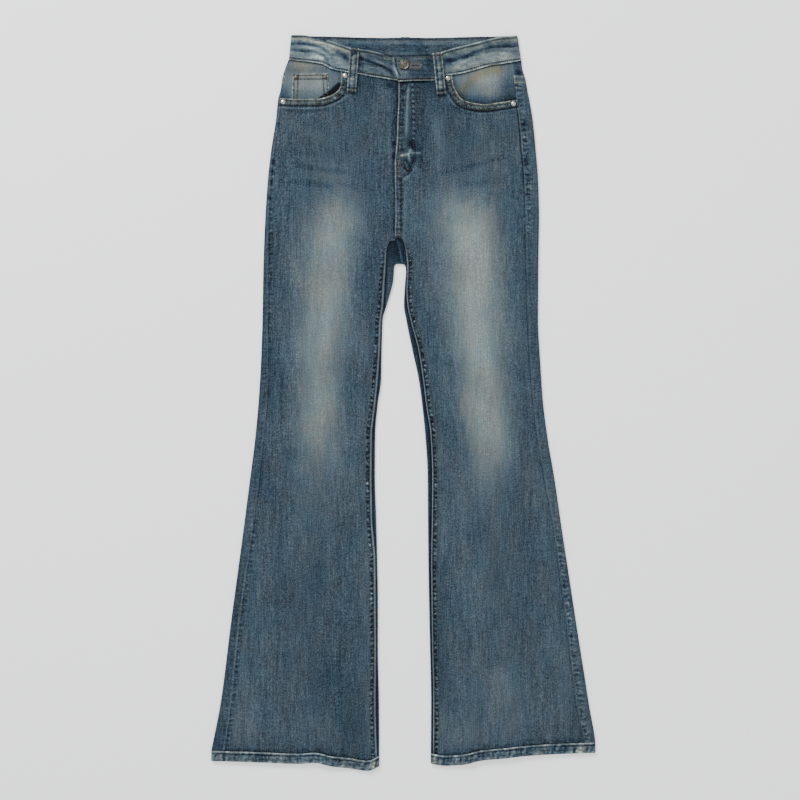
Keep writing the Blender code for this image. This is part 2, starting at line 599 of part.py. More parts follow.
def front_loop(side, columns, rows):
    """A belt loop of the front: it lies on the waistband and the front panel, a little bowed."""
    (top_x, top_y), (foot_x, foot_y) = FRONT_LOOPS[side]
    v = np.linspace(0, 1, rows + 1)[:, None]
    u = np.linspace(-0.5, 0.5, columns + 1)[None, :] * LOOP_WIDTH
    length = np.hypot(foot_x - top_x, foot_y - top_y)
    x = between(top_x, foot_x, v) + u * (top_y - foot_y) / length
    y = between(top_y, foot_y, v) + u * (foot_x - top_x) / length
    raised = overlap_lift(x) if side == "left" else 0.0
    on_band = band_height(x, y) + raised + BAND / 2
    on_front = front_height(side, x, y) + CLOTH / 2
    over = y > BAND_EDGES[side].at("low_y", x) - 4
    carried = np.where(over, np.maximum(on_band, on_front), on_front).max(axis=1)
    padded = np.concatenate([carried[:1], carried, carried[-1:]])
    carried = np.maximum(np.maximum(padded[:-2], padded[1:-1]), padded[2:])[:, None]
    z = carried + GAP + LOOP_CLOTH / 2 + LOOP_BOW * np.sin(np.pi * v)
    return stack((x, y, z))


# --- Solids ------------------------------------------------------------------------------------

def finish(name):
    colour, roughness, metallic = FINISHES[name]
    material = bpy.data.materials.get(name) or bpy.data.materials.new(name)
    material.use_nodes = True
    shader = material.node_tree.nodes["Principled BSDF"]
    shader.inputs["Base Color"].default_value = (*colour, 1.0)
    shader.inputs["Roughness"].default_value = roughness
    shader.inputs["Metallic"].default_value = metallic
    return material


def place(name, mesh, material):
    mesh.materials.append(finish(material))
    piece = bpy.data.objects.new(name, mesh)
    bpy.context.scene.collection.objects.link(piece)
    return piece


def cloth(name, grid, thickness, material, closed=False):
    """A wall of cloth on a grid of middle points; points marked nan are left out."""
    rows, columns = grid.shape[:2]
    points = grid.reshape(-1, 3)
    kept = np.isfinite(points).all(axis=1)
    number = np.cumsum(kept) - 1
    here = np.arange(rows * columns).reshape(rows, columns)
    if closed:
        here = np.concatenate([here, here[:, :1]], axis=1)
    quads = np.stack([here[:-1, :-1], here[1:, :-1], here[1:, 1:], here[:-1, 1:]], axis=-1)
    quads = quads.reshape(-1, 4)
    quads = number[quads[kept[quads].all(axis=1)]]
    mesh = bpy.data.meshes.new(name)
    mesh.from_pydata((points[kept] * MM).tolist(), [], quads.tolist())
    mesh.validate()
    mesh.shade_smooth()
    piece = place(name, mesh, material)
    wall = piece.modifiers.new("cloth", "SOLIDIFY")
    wall.thickness = thickness * MM
    wall.offset = 0.0
    wall.use_even_offset = True
    return piece


def turned(name, profile, centre, material, steps):
    """A round piece: its profile of (radius, height) turned about the vertical."""
    mesh = bmesh.new()
    points = [mesh.verts.new((radius * MM, 0.0, height * MM)) for radius, height in profile]
    lines = [mesh.edges.new(pair) for pair in zip(points, points[1:])]
    bmesh.ops.spin(mesh, geom=points + lines, cent=(0, 0, 0), axis=(0, 0, 1),
                   angle=2 * np.pi, steps=steps, use_merge=True)
    bmesh.ops.remove_doubles(mesh, verts=mesh.verts, dist=1e-7)
    bmesh.ops.recalc_face_normals(mesh, faces=mesh.faces)
    data = bpy.data.meshes.new(name)
    mesh.to_mesh(data)
    mesh.free()
    data.shade_smooth()
    data.set_sharp_from_angle(angle=0.7)
    piece = place(name, data, material)
    piece.location = [value * MM for value in centre]
    return piece


def button():
    """The fastened button: a domed cap with a rim, on a shank that stands in the buttonhole."""
    x, y, radius, shank = (BUTTON[key] for key in ("x", "y", "radius", "shank"))
    lower = float(band_height(np.array(x), np.array(y))) + BAND / 2 + GAP
    cap = lower + BAND + GAP
    profile = [
        (0, lower), (shank, lower), (shank, cap), (radius - 0.8, cap), (radius, cap + 0.7),
        (radius, cap + 1.5), (radius - 0.7, cap + 2.3), (radius - 1.7, cap + 2.4),
        (radius - 2.4, cap + 1.9), (radius - 5, cap + 2.3), (0, cap + 2.5)]
    turned("button", profile, (x, y, 0), "brass", 24)


def buttonhole(band):
    """A round eye through the waistband's upper end only."""
    x, y = BUTTON["x"], BUTTON["y"]
    lower = float(band_height(np.array(x), np.array(y))) + BAND / 2 + GAP / 2
    radius, depth = BUTTON["hole"], 2 * BAND
    profile = [(0, lower), (radius, lower), (radius, lower + depth), (0, lower + depth)]
    cutter = turned("buttonhole_cutter", profile, (x, y, 0), "brass", 16)
    cutter.hide_render = True
    cutter.display_type = "WIRE"
    eye = band.modifiers.new("buttonhole", "BOOLEAN")
    eye.operation = "DIFFERENCE"
    eye.object = cutter


RIVETS = dict(
    rivet_right_pocket_front=(-85.5, 481.0, "front"), rivet_right_pocket_side=(-176.5, 442.5, "front"),
    rivet_left_pocket_front=(66.0, 477.5, "front"), rivet_left_pocket_side=(162.5, 440.0, "front"),
    rivet_coin_pocket_side=(-157.5, 479.0, "coin"), rivet_coin_pocket_front=(-114.5, 479.0, "coin"))


def rivet(name):
    """A small domed rivet, just clear of the highest cloth under it."""
    x, y, carrier = RIVETS[name]
    turn = np.linspace(0, 2 * np.pi, 9)
    around_x, around_y = x + RIVET_RADIUS * np.cos(turn), y + RIVET_RADIUS * np.sin(turn)
    if carrier == "coin":
        under = top_height(around_x, around_y) + LAYER
    else:
        under = front_height("right" if x < 0 else "left", around_x, around_y)
    low = float(under.max()) + CLOTH / 2 + GAP
    radius = RIVET_RADIUS
    profile = [(0, low), (radius, low), (radius, low + 0.6), (radius - 1.0, low + 1.3), (0, low + 1.7)]
    turned(name, profile, (x, y, 0), "brass" if carrier == "coin" else "steel", 12)


# --- The garment -------------------------------------------------------------------------------

FRONT_ROWS = (0, 0.08, 0.2, 0.38, 0.58, 0.78, 1.0)
LEG_LEVELS = (FORK_SIDE, 222, 212, 201, 190, 178, 166.5, 144, 122, 78, 33.5, -10, -60, -110, -160,
              -215, -275, -335, -395, -438, -476, -500, HEM_LINE + GAP / 2)
FRONT_LEVELS = (SEAT, 347, 309, 271, 245) + LEG_LEVELS
BACK_LEVELS = (YOKE_SIDE - GAP / 2, 452, BACK_STRAIGHT, 423, 398, SEAT, 347, 309, 271, 259.5,
               245) + LEG_LEVELS
BACK_COLUMNS = (167.5, 156, 122, 88, 54, 20, 8)
YOKE_COLUMNS = dict(right=(145, 121, 108, 92, 79, 52, 18),
                    left=(145, 121, 108, 92, 79, 52, 24, 11))
BAND_COLUMNS = (200, 145, 121, 108, 92, 79, 52, 24, 11, BACK_SEAM, -18, -52, -79, -92, -108,
                -121, -145, -200)


def garment():
    for side in SIGN:
        front = front_panel(side, 7, FRONT_ROWS, FRONT_LEVELS)
        back = back_panel(side, BACK_LEVELS, 1, 4, BACK_COLUMNS)
        cloth(f"front_{side}", front, CLOTH, "denim")
        cloth(f"back_{side}", back, CLOTH, "denim")
        cloth(f"yoke_{side}", yoke(side, 6, 1, 4, YOKE_COLUMNS[side]), CLOTH, "denim")
        cloth(f"hem_{side}", hem(front, back, 2), HEM_CLOTH, "denim", closed=True)
        cloth(f"pocket_bearer_{side}", pocket_bearer(side, 6), CLOTH, "denim_pale")
        cloth(f"back_pocket_{side}", back_pocket(side, 4, 3), CLOTH, "denim")
        cloth(f"belt_loop_front_{side}", front_loop(side, 2, 9), LOOP_CLOTH, "denim_pale")
    cloth("coin_pocket", coin_pocket(4, 4), CLOTH, "denim_pale")
    for place_name in BACK_LOOP_PLACES:
        cloth(f"belt_loop_back_{place_name}", back_loop(place_name, 1, 4), LOOP_CLOTH, "denim")
    band = cloth("waistband", waistband(7, 4, BAND_COLUMNS), BAND, "denim_dark")
    buttonhole(band)
    button()
    for name in RIVETS:
        rivet(name)


for old in list(bpy.data.objects):
    bpy.data.objects.remove(old, do_unlink=True)
garment()
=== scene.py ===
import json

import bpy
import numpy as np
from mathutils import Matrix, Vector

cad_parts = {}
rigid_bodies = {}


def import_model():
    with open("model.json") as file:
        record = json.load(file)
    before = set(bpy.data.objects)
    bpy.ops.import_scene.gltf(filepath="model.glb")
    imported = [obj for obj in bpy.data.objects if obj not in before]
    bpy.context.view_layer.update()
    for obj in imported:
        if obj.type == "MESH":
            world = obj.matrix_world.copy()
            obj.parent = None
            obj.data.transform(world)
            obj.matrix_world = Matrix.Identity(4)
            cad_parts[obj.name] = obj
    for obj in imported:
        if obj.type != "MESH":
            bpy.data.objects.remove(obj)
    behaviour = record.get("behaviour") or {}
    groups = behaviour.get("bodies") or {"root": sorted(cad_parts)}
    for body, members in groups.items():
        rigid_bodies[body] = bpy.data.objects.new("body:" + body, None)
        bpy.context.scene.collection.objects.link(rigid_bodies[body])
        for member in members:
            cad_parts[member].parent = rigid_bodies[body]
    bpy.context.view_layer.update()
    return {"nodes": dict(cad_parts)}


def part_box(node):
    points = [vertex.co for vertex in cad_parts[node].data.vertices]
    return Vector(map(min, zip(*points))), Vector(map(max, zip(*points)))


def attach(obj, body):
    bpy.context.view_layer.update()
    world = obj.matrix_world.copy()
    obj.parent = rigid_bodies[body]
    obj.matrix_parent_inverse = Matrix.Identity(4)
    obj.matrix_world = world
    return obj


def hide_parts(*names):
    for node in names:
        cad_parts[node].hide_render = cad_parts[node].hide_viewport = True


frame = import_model()

# %% [markdown]
# Washed bootcut jeans, laid flat.
#
# The imported model gives the garment's plain panels.  This lesson covers them with fine cloth: the
# same seams and heights, with the puckers, worn edges, stitches and faded denim that make jeans
# look like jeans.  Sizes are in millimetres until a mesh is made.  +X is the wearer's left, +Y is
# up the garment and +Z is up from the surface.

# %% [markdown]
# A flat garment is two layers joined by folds.  The sizes of the layers come first, because every
# height that follows is built up from them: cloth, hollow, cloth, and whatever lies on top.

# %% Sizes of the layers
MM = 0.001
CLOTH, BAND, HEM_CLOTH, LOOP_CLOTH = 1.2, 2.4, 2.0, 1.8
GAP, HOLLOW, LOOSE = 0.3, 1.2, 0.25
LAYER = CLOTH + GAP
FOLD_RADIUS = (CLOTH + HOLLOW) / 2
FOLD_INSET = CLOTH / 2 + FOLD_RADIUS
BAND_RISE = 4.2
BAND_RADIUS = (BAND_RISE - BAND / 2) / 2

FORK, FORK_SIDE, SEAT = 204.5, 232.0, 373.0
YOKE_SIDE, YOKE_BACK, BACK_STRAIGHT = 470.0, 441.0, 434.0
BACK_SEAM, BAND_LOW_BACK, BACK_DIP = -4.5, 502.0, 3.5
HEM_LINE, HEM_HEIGHT, HEM_EASE = -514.5, 14.5, 76.0
FLY_UNDERLAP, FLY_TOP, FLY_FOOT = 12.0, 380.0, 360.0
POCKET_REACH, WAIST_GAP, INSEAM_TOP = 20.0, 1.5 * GAP, 166.5
COIN_TOP, COIN_FOOT, COIN_LEFT, COIN_RIGHT = 484.0, 436.0, -163.5, -108.0
COIN_TALL = 200.0  # half of the tall rectangle over which the coin pocket lifts the front
GAPE = dict(x=-112.0, y=455.0, width=15.0, height=2.2)
LOOP_WIDTH, LOOP_BOW = 13.0, 0.8
BACK_LOOP_TOP, BACK_LOOP_FOOT = 539.0, 471.0
BACK_LOOP_PLACES = dict(right=-100.0, centre=3.0, left=100.0)
BACK_POCKET_X, BACK_POCKET_TOP, BACK_POCKET_WIDTH, BACK_POCKET_HEIGHT = 88.0, 422.0, 134.0, 150.0
SIGN = dict(right=-1, left=1)
print("upper cloth at", CLOTH + HOLLOW, "to", 2 * CLOTH + HOLLOW, "mm")

# %% [markdown]
# The outline of jeans is all curves, so each seam and fold is a short table of a few measured
# places.  A smooth curve through them gives every other place.  The curve used here never
# overshoots its points, which keeps a seam from waving between two of them.

# %% Reading a table smoothly


def smooth(where, knots, values):
    """A cubic through the knots that never overshoots: its slopes are harmonic means."""
    where = np.clip(where, knots[0], knots[-1])
    width = np.diff(knots)
    rise = np.diff(values) / width
    product = rise[:-1] * rise[1:]
    total = np.where(product > 0, rise[:-1] + rise[1:], 1.0)
    middle = np.where(product > 0, 2 * product / total, 0.0)
    slope = np.concatenate([rise[:1], middle, rise[-1:]])
    k = np.clip(np.searchsorted(knots, where, side="right") - 1, 0, len(width) - 1)
    t = (where - knots[k]) / width[k]
    ends = values[k] * (1 + 2 * t) * (1 - t) ** 2 + values[k + 1] * (3 - 2 * t) * t ** 2
    return ends + width[k] * (slope[k] * t * (1 - t) ** 2 - slope[k + 1] * t ** 2 * (1 - t))


def ease(t):
    """0 before 0, 1 after 1, and a smooth S between."""
    t = np.clip(t, 0.0, 1.0)
    return t * t * (3 - 2 * t)


def bump(away, width):
    """A soft bell: 1 where away is 0, and close to 0 two widths off."""
    return np.exp(-(away / width) ** 2)


def bells(away, *rows):
    """A sum of soft bells, each given as its height, its place and its width."""
    return sum(height * bump(away - place, width) for height, place, width in rows)


def between(a, b, t):
    """A straight mix: a where t is 0, and b where it is 1."""
    return a + (b - a) * t


def shares(count):
    """A number of even shares from 0 to 1."""
    return np.linspace(0, 1, count)


class Table:
    """Rows of sizes under named columns, read smoothly between the rows by the first column."""

    def __init__(self, columns, rows):
        values = np.array(sorted(rows), float)
        self.knots = values[:, 0]
        self.columns = {name: values[:, k] for k, name in enumerate(columns.split())}

    def at(self, name, where):
        return smooth(where, self.knots, self.columns[name])

    def rows(self):
        names = list(self.columns)
        return [dict(zip(names, row)) for row in zip(*self.columns.values())]


# %% [markdown]
# The side seam doesn't lie on the side fold.  On the wearer's left it sits well inside it, and on
# the right it starts on the fold and moves inwards down the leg.  So each side has two columns,
# the fold and the seam.

# %% Side folds, side seams and the rise
SIDE = dict(
    right=Table("y fold seam", [
        (505.5, -169, -166), (491, -174.5, -172), (476, -178.5, -175.5), (461.5, -180.5, -178),
        (446.5, -184.5, -181.5), (417, -187.5, -184.5), (373, -194.5, -191),
        (328.5, -199.5, -196.5), (277, -203, -199), (204.5, -206, -200), (122, -207.5, -200.5),
        (63, -209.5, -200), (4, -213, -201.5), (-55, -218.5, -207.5), (-114, -226, -213.5),
        (-202.5, -237.5, -225), (-320.5, -253.5, -241.5), (-438.5, -268.5, -254),
        (-497.5, -279.5, -262), (-515, -283, -265), (-530, -284.5, -267)]),
    left=Table("y fold seam", [
        (505.5, 174, 159), (491, 176, 161.5), (476, 180.5, 163.5), (461.5, 183, 165),
        (446.5, 186, 167.5), (417, 191, 172), (373, 195.5, 176), (328.5, 199, 179.5),
        (277, 200.5, 181.5), (204.5, 199.5, 182.5), (122, 199, 185.5), (63, 202, 188),
        (4, 206, 192.5), (-55, 213.5, 200), (-114, 223.5, 210), (-173, 232, 221),
        (-261.5, 245.5, 233.5), (-320.5, 254.5, 241), (-438.5, 273, 256),
        (-497.5, 281.5, 265.5), (-515, 283.5, 268.5), (-530, 284.5, 270)]),
)
RISE = Table("y x", [
    (472, -6.5), (446.5, -6.5), (417, -8), (386, -9), (364, -11), (349, -12), (328.5, -12),
    (299, -10.5), (266.5, -11.5), (241.5, -12)])

# %% The inner edge, from the rise round the crotch and down the inseam
RISE_LEVELS = [(SEAT, 377.0), (347.0, 353.0), (309.0, 317.5), (271.0, 281.0), (245.0, 255.0)]
FORK_ROWS = dict(
    right=[
        (FORK_SIDE, -12, 241.5, BACK_SEAM, FORK, -90), (222, -19.5, 239.5, -8.5, 204.5, -78),
        (212, -23.5, 232.5, -11.5, 203, -50), (201, -25.5, 219.5, -13, 199.5, -20),
        (190, -26.5, 203, -13.5, 191.5, 0), (178, -28, 184, -14.5, 179.5, 0)],
    left=[
        (FORK_SIDE, -12, 241.5, BACK_SEAM, FORK, -90), (222, -1, 239.5, 0, 204, -102),
        (212, 3, 228.5, 2.5, 202.5, -130), (201, 5.5, 212, 3.5, 199.5, -160),
        (190, 6.5, 196, 4, 191.5, -180), (178, 5.7, 181, 3, 179.5, -180)],
)
INSEAM = dict(
    right=[
        (166.5, -29, -17.5), (144, -30.5, -24), (122, -33.5, -30), (78, -35.5, -31.5),
        (33.5, -38.5, -32.5), (-3.5, -42, -37.5), (-47.5, -47, -41), (-106.5, -47.5, -41.5),
        (-173, -46.5, -39.5), (-232, -42, -38), (-291, -41.5, -37), (-364.5, -41, -37),
        (-438.5, -41.5, -35.5), (-530, -39, -35)],
    left=[
        (166.5, 5, 2), (144, 6.5, 1), (122, 11, 4.5), (78, 22.5, 13.5), (33.5, 29.5, 23),
        (-3.5, 34, 28), (-47.5, 40.5, 32.5), (-106.5, 43, 36), (-173, 42.5, 36.5),
        (-232, 41.5, 37), (-291, 42, 38), (-364.5, 43, 39.5), (-438.5, 44.5, 41),
        (-530, 44, 40.5)],
)
INNER_TURN = dict(right=0, left=-180)


def inner_table(side):
    """The front's inner edge, the inner fold and the way it faces, by the level of the side."""
    rows = [(level, float(RISE.at("x", y)), y, BACK_SEAM, level, -90) for level, y in RISE_LEVELS]
    rows += FORK_ROWS[side]
    rows += [(y, seam, y, fold, y, INNER_TURN[side]) for y, seam, fold in INSEAM[side]]
    return Table("level edge_x edge_y fold_x fold_y turn", rows)


INNER = {side: inner_table(side) for side in SIGN}

# %% The hem, the waistband and the pocket mouths
HEM_DROP = dict(
    right=Table("x drop", [(-282, -1.5), (-211, 0.5), (-152, 2.5), (-130, 1), (-103.5, 6.5),
                           (-78.5, 9.5), (-52, 13), (-34, 6)]),
    left=Table("x drop", [(41, 2.5), (62, 5.5), (87, 4), (113.5, -2), (143, -5), (187, -9.5),
                          (231.5, -12), (283, -13.5)]),
)
BAND_EDGES = dict(
    right=Table("x top_x top_y low_y", [
        (-165.8, -162.3, 541, 505.5), (-152, -147.5, 540.5, 503.7), (-136, -128.5, 536.5, 502),
        (-119.5, -108, 532, 499), (-103.5, -93, 527, 491.3), (-84, -75.5, 521.5, 487.2),
        (-54.5, -49, 518, 482.3), (-28, -28, 513, 478), (-7, -10.5, 510, 475),
        (13, 10, 510, 477)]),
    left=Table("x top_x top_y low_y", [
        (171.3, 165.8, 540.5, 504), (147.5, 143, 538, 499.8), (126.5, 121, 533, 496.3),
        (100, 95.5, 526.5, 488.8), (78, 72, 520.5, 483.8), (62, 56, 516, 482),
        (45.5, 39.5, 512.5, 474.8), (16, 13, 510.5, 473.8), (-7, -15.5, 510, 473)]),
)
MOUTH = dict(
    right=[(-91, 487), (-91.2, 471.5), (-93.5, 462), (-99.5, 455.5), (-109.5, 450.5),
           (-122.5, 447), (-152, 446.5), (-181, 448)],
    left=[(71.5, 484), (72.5, 476), (74, 468), (79, 456.5), (87, 446.5), (100.5, 441.5),
          (120, 439), (143, 442), (167.5, 446)],
)
FRONT_LOOPS = dict(right=((-71.5, 521.0), (-76.0, 456.5)), left=((50.5, 514.5), (56.5, 452.5)))

# %% Swells, soft folds and creases
SWELL = Table("y height", [(-530, 1.5), (-300, 2.6), (0, 2.8), (200, 2.2), (350, 1.6), (480, 0.4)])
FOLDS = Table("x0 y0 x1 y1 width height", [
    (-116, -500, -122, -400, 12, 2.4), (-75, -505, -80, -440, 14, -1.2),
    (98, -505, 104, -410, 12, 2.2), (150, -500, 165, -430, 16, 1.4),
    (-105, 120, -125, -60, 26, 1.2), (120, 110, 128, -70, 26, 1.2),
    (-60, 250, -140, 285, 13, 0.9), (35, 255, 120, 300, 13, 0.9)]).rows()
CREASES = Table("x0 y0 x1 y1 width height", [
    (-150, 529, -132, 527.5, 5, -0.9), (-130, 526, -84, 509, 5, -1.0),
    (-150, 518, -130, 516, 5, -0.7), (-128, 515, -104, 500, 5, -0.8),
    (-50, 505, -34, 492, 5, -1.0), (152, 525, 134, 522.5, 5, -0.9),
    (130, 521, 70, 506, 5, -0.9), (152, 515, 112, 509, 5, -0.7)]).rows()
BULGE = dict(height=1.1, fade=24, right_end=-30, left_end=50)
POCKET_LIFT = (BACK_POCKET_WIDTH / 2, BACK_POCKET_HEIGHT / 2, LAYER, 2, 14)
LOOP_LIFT = (LOOP_WIDTH / 2, 34, LOOP_CLOTH + GAP, 10, 24)
POCKET_MIDDLE = BACK_POCKET_TOP - BACK_POCKET_HEIGHT / 2
LOOP_MIDDLE = (BACK_LOOP_TOP + BACK_LOOP_FOOT) / 2
UNDERNEATH = [(sign * BACK_POCKET_X, POCKET_MIDDLE) + POCKET_LIFT for sign in (-1, 1)]
UNDERNEATH += [(x, LOOP_MIDDLE) + LOOP_LIFT for x in BACK_LOOP_PLACES.values()]
TOP_SPREAD = 40.0
print(len(FOLDS), "soft folds,", len(CREASES), "creases in the waistband")

# %% [markdown]
# Next come the heights.  The lower cloth lies on the surface, except over the back pockets and
# belt loops, which lift it.  The upper cloth takes up that lift more softly and has a gentle
# swell down each leg.  A front panel rises further where it covers a pocket or the fly.

# %% Heights of the layers


def outside(x, y, middle_x, middle_y, half_width, half_height):
    """Distance from an upright rectangle, and 0 inside it."""
    return np.hypot(np.maximum(abs(x - middle_x) - half_width, 0),
                    np.maximum(abs(y - middle_y) - half_height, 0))


def lift(x, y, spread=0.0):
    """How far the pieces underneath raise the cloth over them."""
    raised = np.zeros(np.broadcast(x, y).shape)
    for *rectangle, height, margin, reach in UNDERNEATH:
        away = (outside(x, y, *rectangle) - margin) / (reach - margin + spread)
        raised = np.maximum(raised, height * (1 - ease(away)))
    return raised


def from_line(x, y, line):
    """Distance from a straight line between two places, and the share of the way along it."""
    along_x, along_y = line["x1"] - line["x0"], line["y1"] - line["y0"]
    length = along_x ** 2 + along_y ** 2 + 1e-9
    t = np.clip(((x - line["x0"]) * along_x + (y - line["y0"]) * along_y) / length, 0, 1)
    return np.hypot(x - line["x0"] - t * along_x, y - line["y0"] - t * along_y), t


def ridge(x, y, fold):
    """One soft fold: a rounded ridge or trough along a straight line, fading past its ends."""
    return fold["height"] * bump(from_line(x, y, fold)[0], fold["width"])


def swell(x, y):
    """The soft swell of the two legs, which dies out at every fold."""
    raised = 0.0
    for side in SIGN:
        inner = INNER[side].columns
        order = np.argsort(inner["fold_y"], kind="stable")
        near = np.interp(y, inner["fold_y"][order], inner["fold_x"][order])
        far = SIDE[side].at("fold", y)
        across = np.clip((2 * x - near - far) / (near - far), -1, 1)
        raised = raised + SWELL.at("height", y) * (1 - across ** 2) ** 2
    return raised


def bottom_height(x, y):
    """Middle of the lower layer of cloth."""
    return CLOTH / 2 + lift(x, y)


def top_height(x, y):
    """Middle of the upper layer of cloth."""
    level = CLOTH / 2 + CLOTH + HOLLOW
    return level + lift(x, y, TOP_SPREAD) + swell(x, y) + sum(ridge(x, y, f) for f in FOLDS)


def band_height(x, y):
    """Middle of the front waistband: it bulges between the sides and the fly, and is creased."""
    fade = BULGE["fade"]
    left = np.minimum(SIDE["left"].at("fold", y) - 4 - x, x - BULGE["left_end"])
    right = np.minimum(x - SIDE["right"].at("fold", y) - 4, BULGE["right_end"] - x)
    raised = BULGE["height"] * ease(np.maximum(left, right) / fade)
    creases = sum(ridge(x, y, crease) for crease in CREASES)
    return BAND_RISE + lift(x, y, TOP_SPREAD) + raised + creases


def overlap_lift(x):
    """The raised end of the waistband, which lies on the other end as far as x = 22."""
    return (BAND + 1.5 * GAP) * (1 - ease((x - 22) / 26))


def trace(points, t):
    """The smooth line through some points, by its share of the length, as x and y."""
    points = np.array(points, float)
    reach = np.concatenate([[0], np.cumsum(np.hypot(*np.diff(points, axis=0).T))])
    reach /= reach[-1]
    return smooth(t, reach, points[:, 0]), smooth(t, reach, points[:, 1])


# %% Distance from a curve, and the height of a front panel


def from_curve(x, y, places, count=60, reach=50.0):
    """Distance from the smooth line through some places, the way along it and its length.

    The line is cut into count points.  A place further off than reach is given as reach away.
    """
    line_x, line_y = trace(places, shares(count))
    away, along = np.full(x.shape, reach), np.zeros(x.shape)
    close = ((x > line_x.min() - reach) & (x < line_x.max() + reach) &
             (y > line_y.min() - reach) & (y < line_y.max() + reach))
    steps = np.concatenate([[0], np.cumsum(np.hypot(np.diff(line_x), np.diff(line_y)))])
    gap = np.hypot(x[close][:, None] - line_x, y[close][:, None] - line_y)
    best = gap.argmin(axis=1)
    away[close] = np.minimum(gap[np.arange(len(best)), best], reach)
    along[close] = steps[best]
    return away, along, steps[-1]


def front_height(side, x, y):
    """Middle of a front panel: it rises over the pocket pieces and over the fly's underlap."""
    x, y = np.broadcast_arrays(x, y)
    from_mouth = from_curve(x, y, MOUTH[side], 160, 60.0)[0]
    height = top_height(x, y)
    height = height + (LAYER + LOOSE) * (1 - ease((from_mouth - POCKET_REACH - 8) / 30))
    if side == "right":
        coin = outside(x, y, (COIN_LEFT + COIN_RIGHT) / 2, COIN_FOOT + COIN_TALL,
                       (COIN_RIGHT - COIN_LEFT) / 2, COIN_TALL)
        height = height + LAYER * (1 - ease((coin - 10) / 20))
        away = np.hypot(x - GAPE["x"], y - GAPE["y"])
        return height + GAPE["height"] * bump(away, GAPE["width"])
    fly = (1 - ease((x - RISE.at("x", y) - 18) / 24)) * (1 - ease((FLY_FOOT - 3 - y) / 18))
    return height + fly * (LAYER + 0.9 * ease((y - 440) / 25))


# %% [markdown]
# Washing shrinks the thread more than the cloth, so every seam puckers: the cloth along it swells
# into little pillows with sharp valleys between them.  The pillows lose their dye and the valleys
# keep it.  A list of valley places with uneven spacing and depth gives that rhythm.  The same
# values shape the cloth and darken it.

# %% Puckers along a seam


def puckers(along, spacing, width, seed, least=0.3):
    """Valleys across a seam: bells at uneven steps along it, each as deep as least to 1."""
    low, high = float(np.min(along)) - spacing, float(np.max(along)) + spacing
    count = int((high - low) / spacing) + 3
    chance = np.random.default_rng(seed)
    places = low + np.cumsum(spacing * chance.uniform(0.6, 1.4, count)) - spacing
    depths = chance.uniform(least, 1.0, count)
    after = np.clip(np.searchsorted(places, along), 1, count - 1)
    before = after - 1
    return np.maximum(depths[before] * bump(along - places[before], width),
                      depths[after] * bump(along - places[after], width))


def uneven(along, spacing, seed):
    """A smooth uneven wave between -1 and 1 with a change about every spacing."""
    low, high = float(np.min(along)) - spacing, float(np.max(along)) + spacing
    count = int((high - low) / spacing) + 3
    knots = low + spacing * np.arange(count)
    return smooth(along, knots, np.random.default_rng(seed).uniform(-1, 1, count))


# %% [markdown]
# The wash.  These jeans are rubbed pale down the front of each thigh to the knee, with soft ends.
# The pale column wanders and changes in width, so it is a table by level: its middle, its half
# width and its strength.  Soft spots add the darker hips, the cloudy lower legs and painted
# shadow just under the waistband.

# %% Pale thighs and soft spots
FADE = dict(
    right=Table("y middle left right strength", [
        (373, -105, 24, 30, 0.0), (350.5, -105, 29, 45, 0.035), (314, -95, 31, 28, 0.10),
        (277, -96, 38, 34, 0.24), (240, -100.5, 44, 32, 0.31), (196, -106, 46, 31, 0.275),
        (151.5, -113.5, 34, 31, 0.295), (92.5, -119.5, 37, 34, 0.29), (48.5, -124, 31, 32, 0.245),
        (-3.5, -119.5, 34, 28, 0.27), (-40, -127, 34, 38, 0.21), (-77, -115, 37, 28, 0.165),
        (-114, -122.5, 41, 41, 0.09), (-158, -125.5, 27, 32, 0.05), (-188, -125, 26, 30, 0.0)]),
    left=Table("y middle left right strength", [
        (350, 87, 28, 34, 0.0), (328, 87, 30, 35, 0.05), (314, 87, 38, 37, 0.10),
        (277, 95.5, 43, 38, 0.285), (240, 98.5, 43, 40, 0.355), (196, 107.5, 46, 37, 0.34),
        (151.5, 106, 43, 35, 0.35), (92.5, 107.5, 34, 37, 0.34), (48.5, 116.5, 32, 27, 0.335),
        (-3.5, 119.5, 36, 32, 0.32), (-40, 128, 32, 31, 0.32), (-77, 131, 32, 28, 0.245),
        (-114, 124, 32, 24, 0.145), (-158, 100, 30, 40, 0.045), (-190, 100, 26, 30, 0.0)]),
)
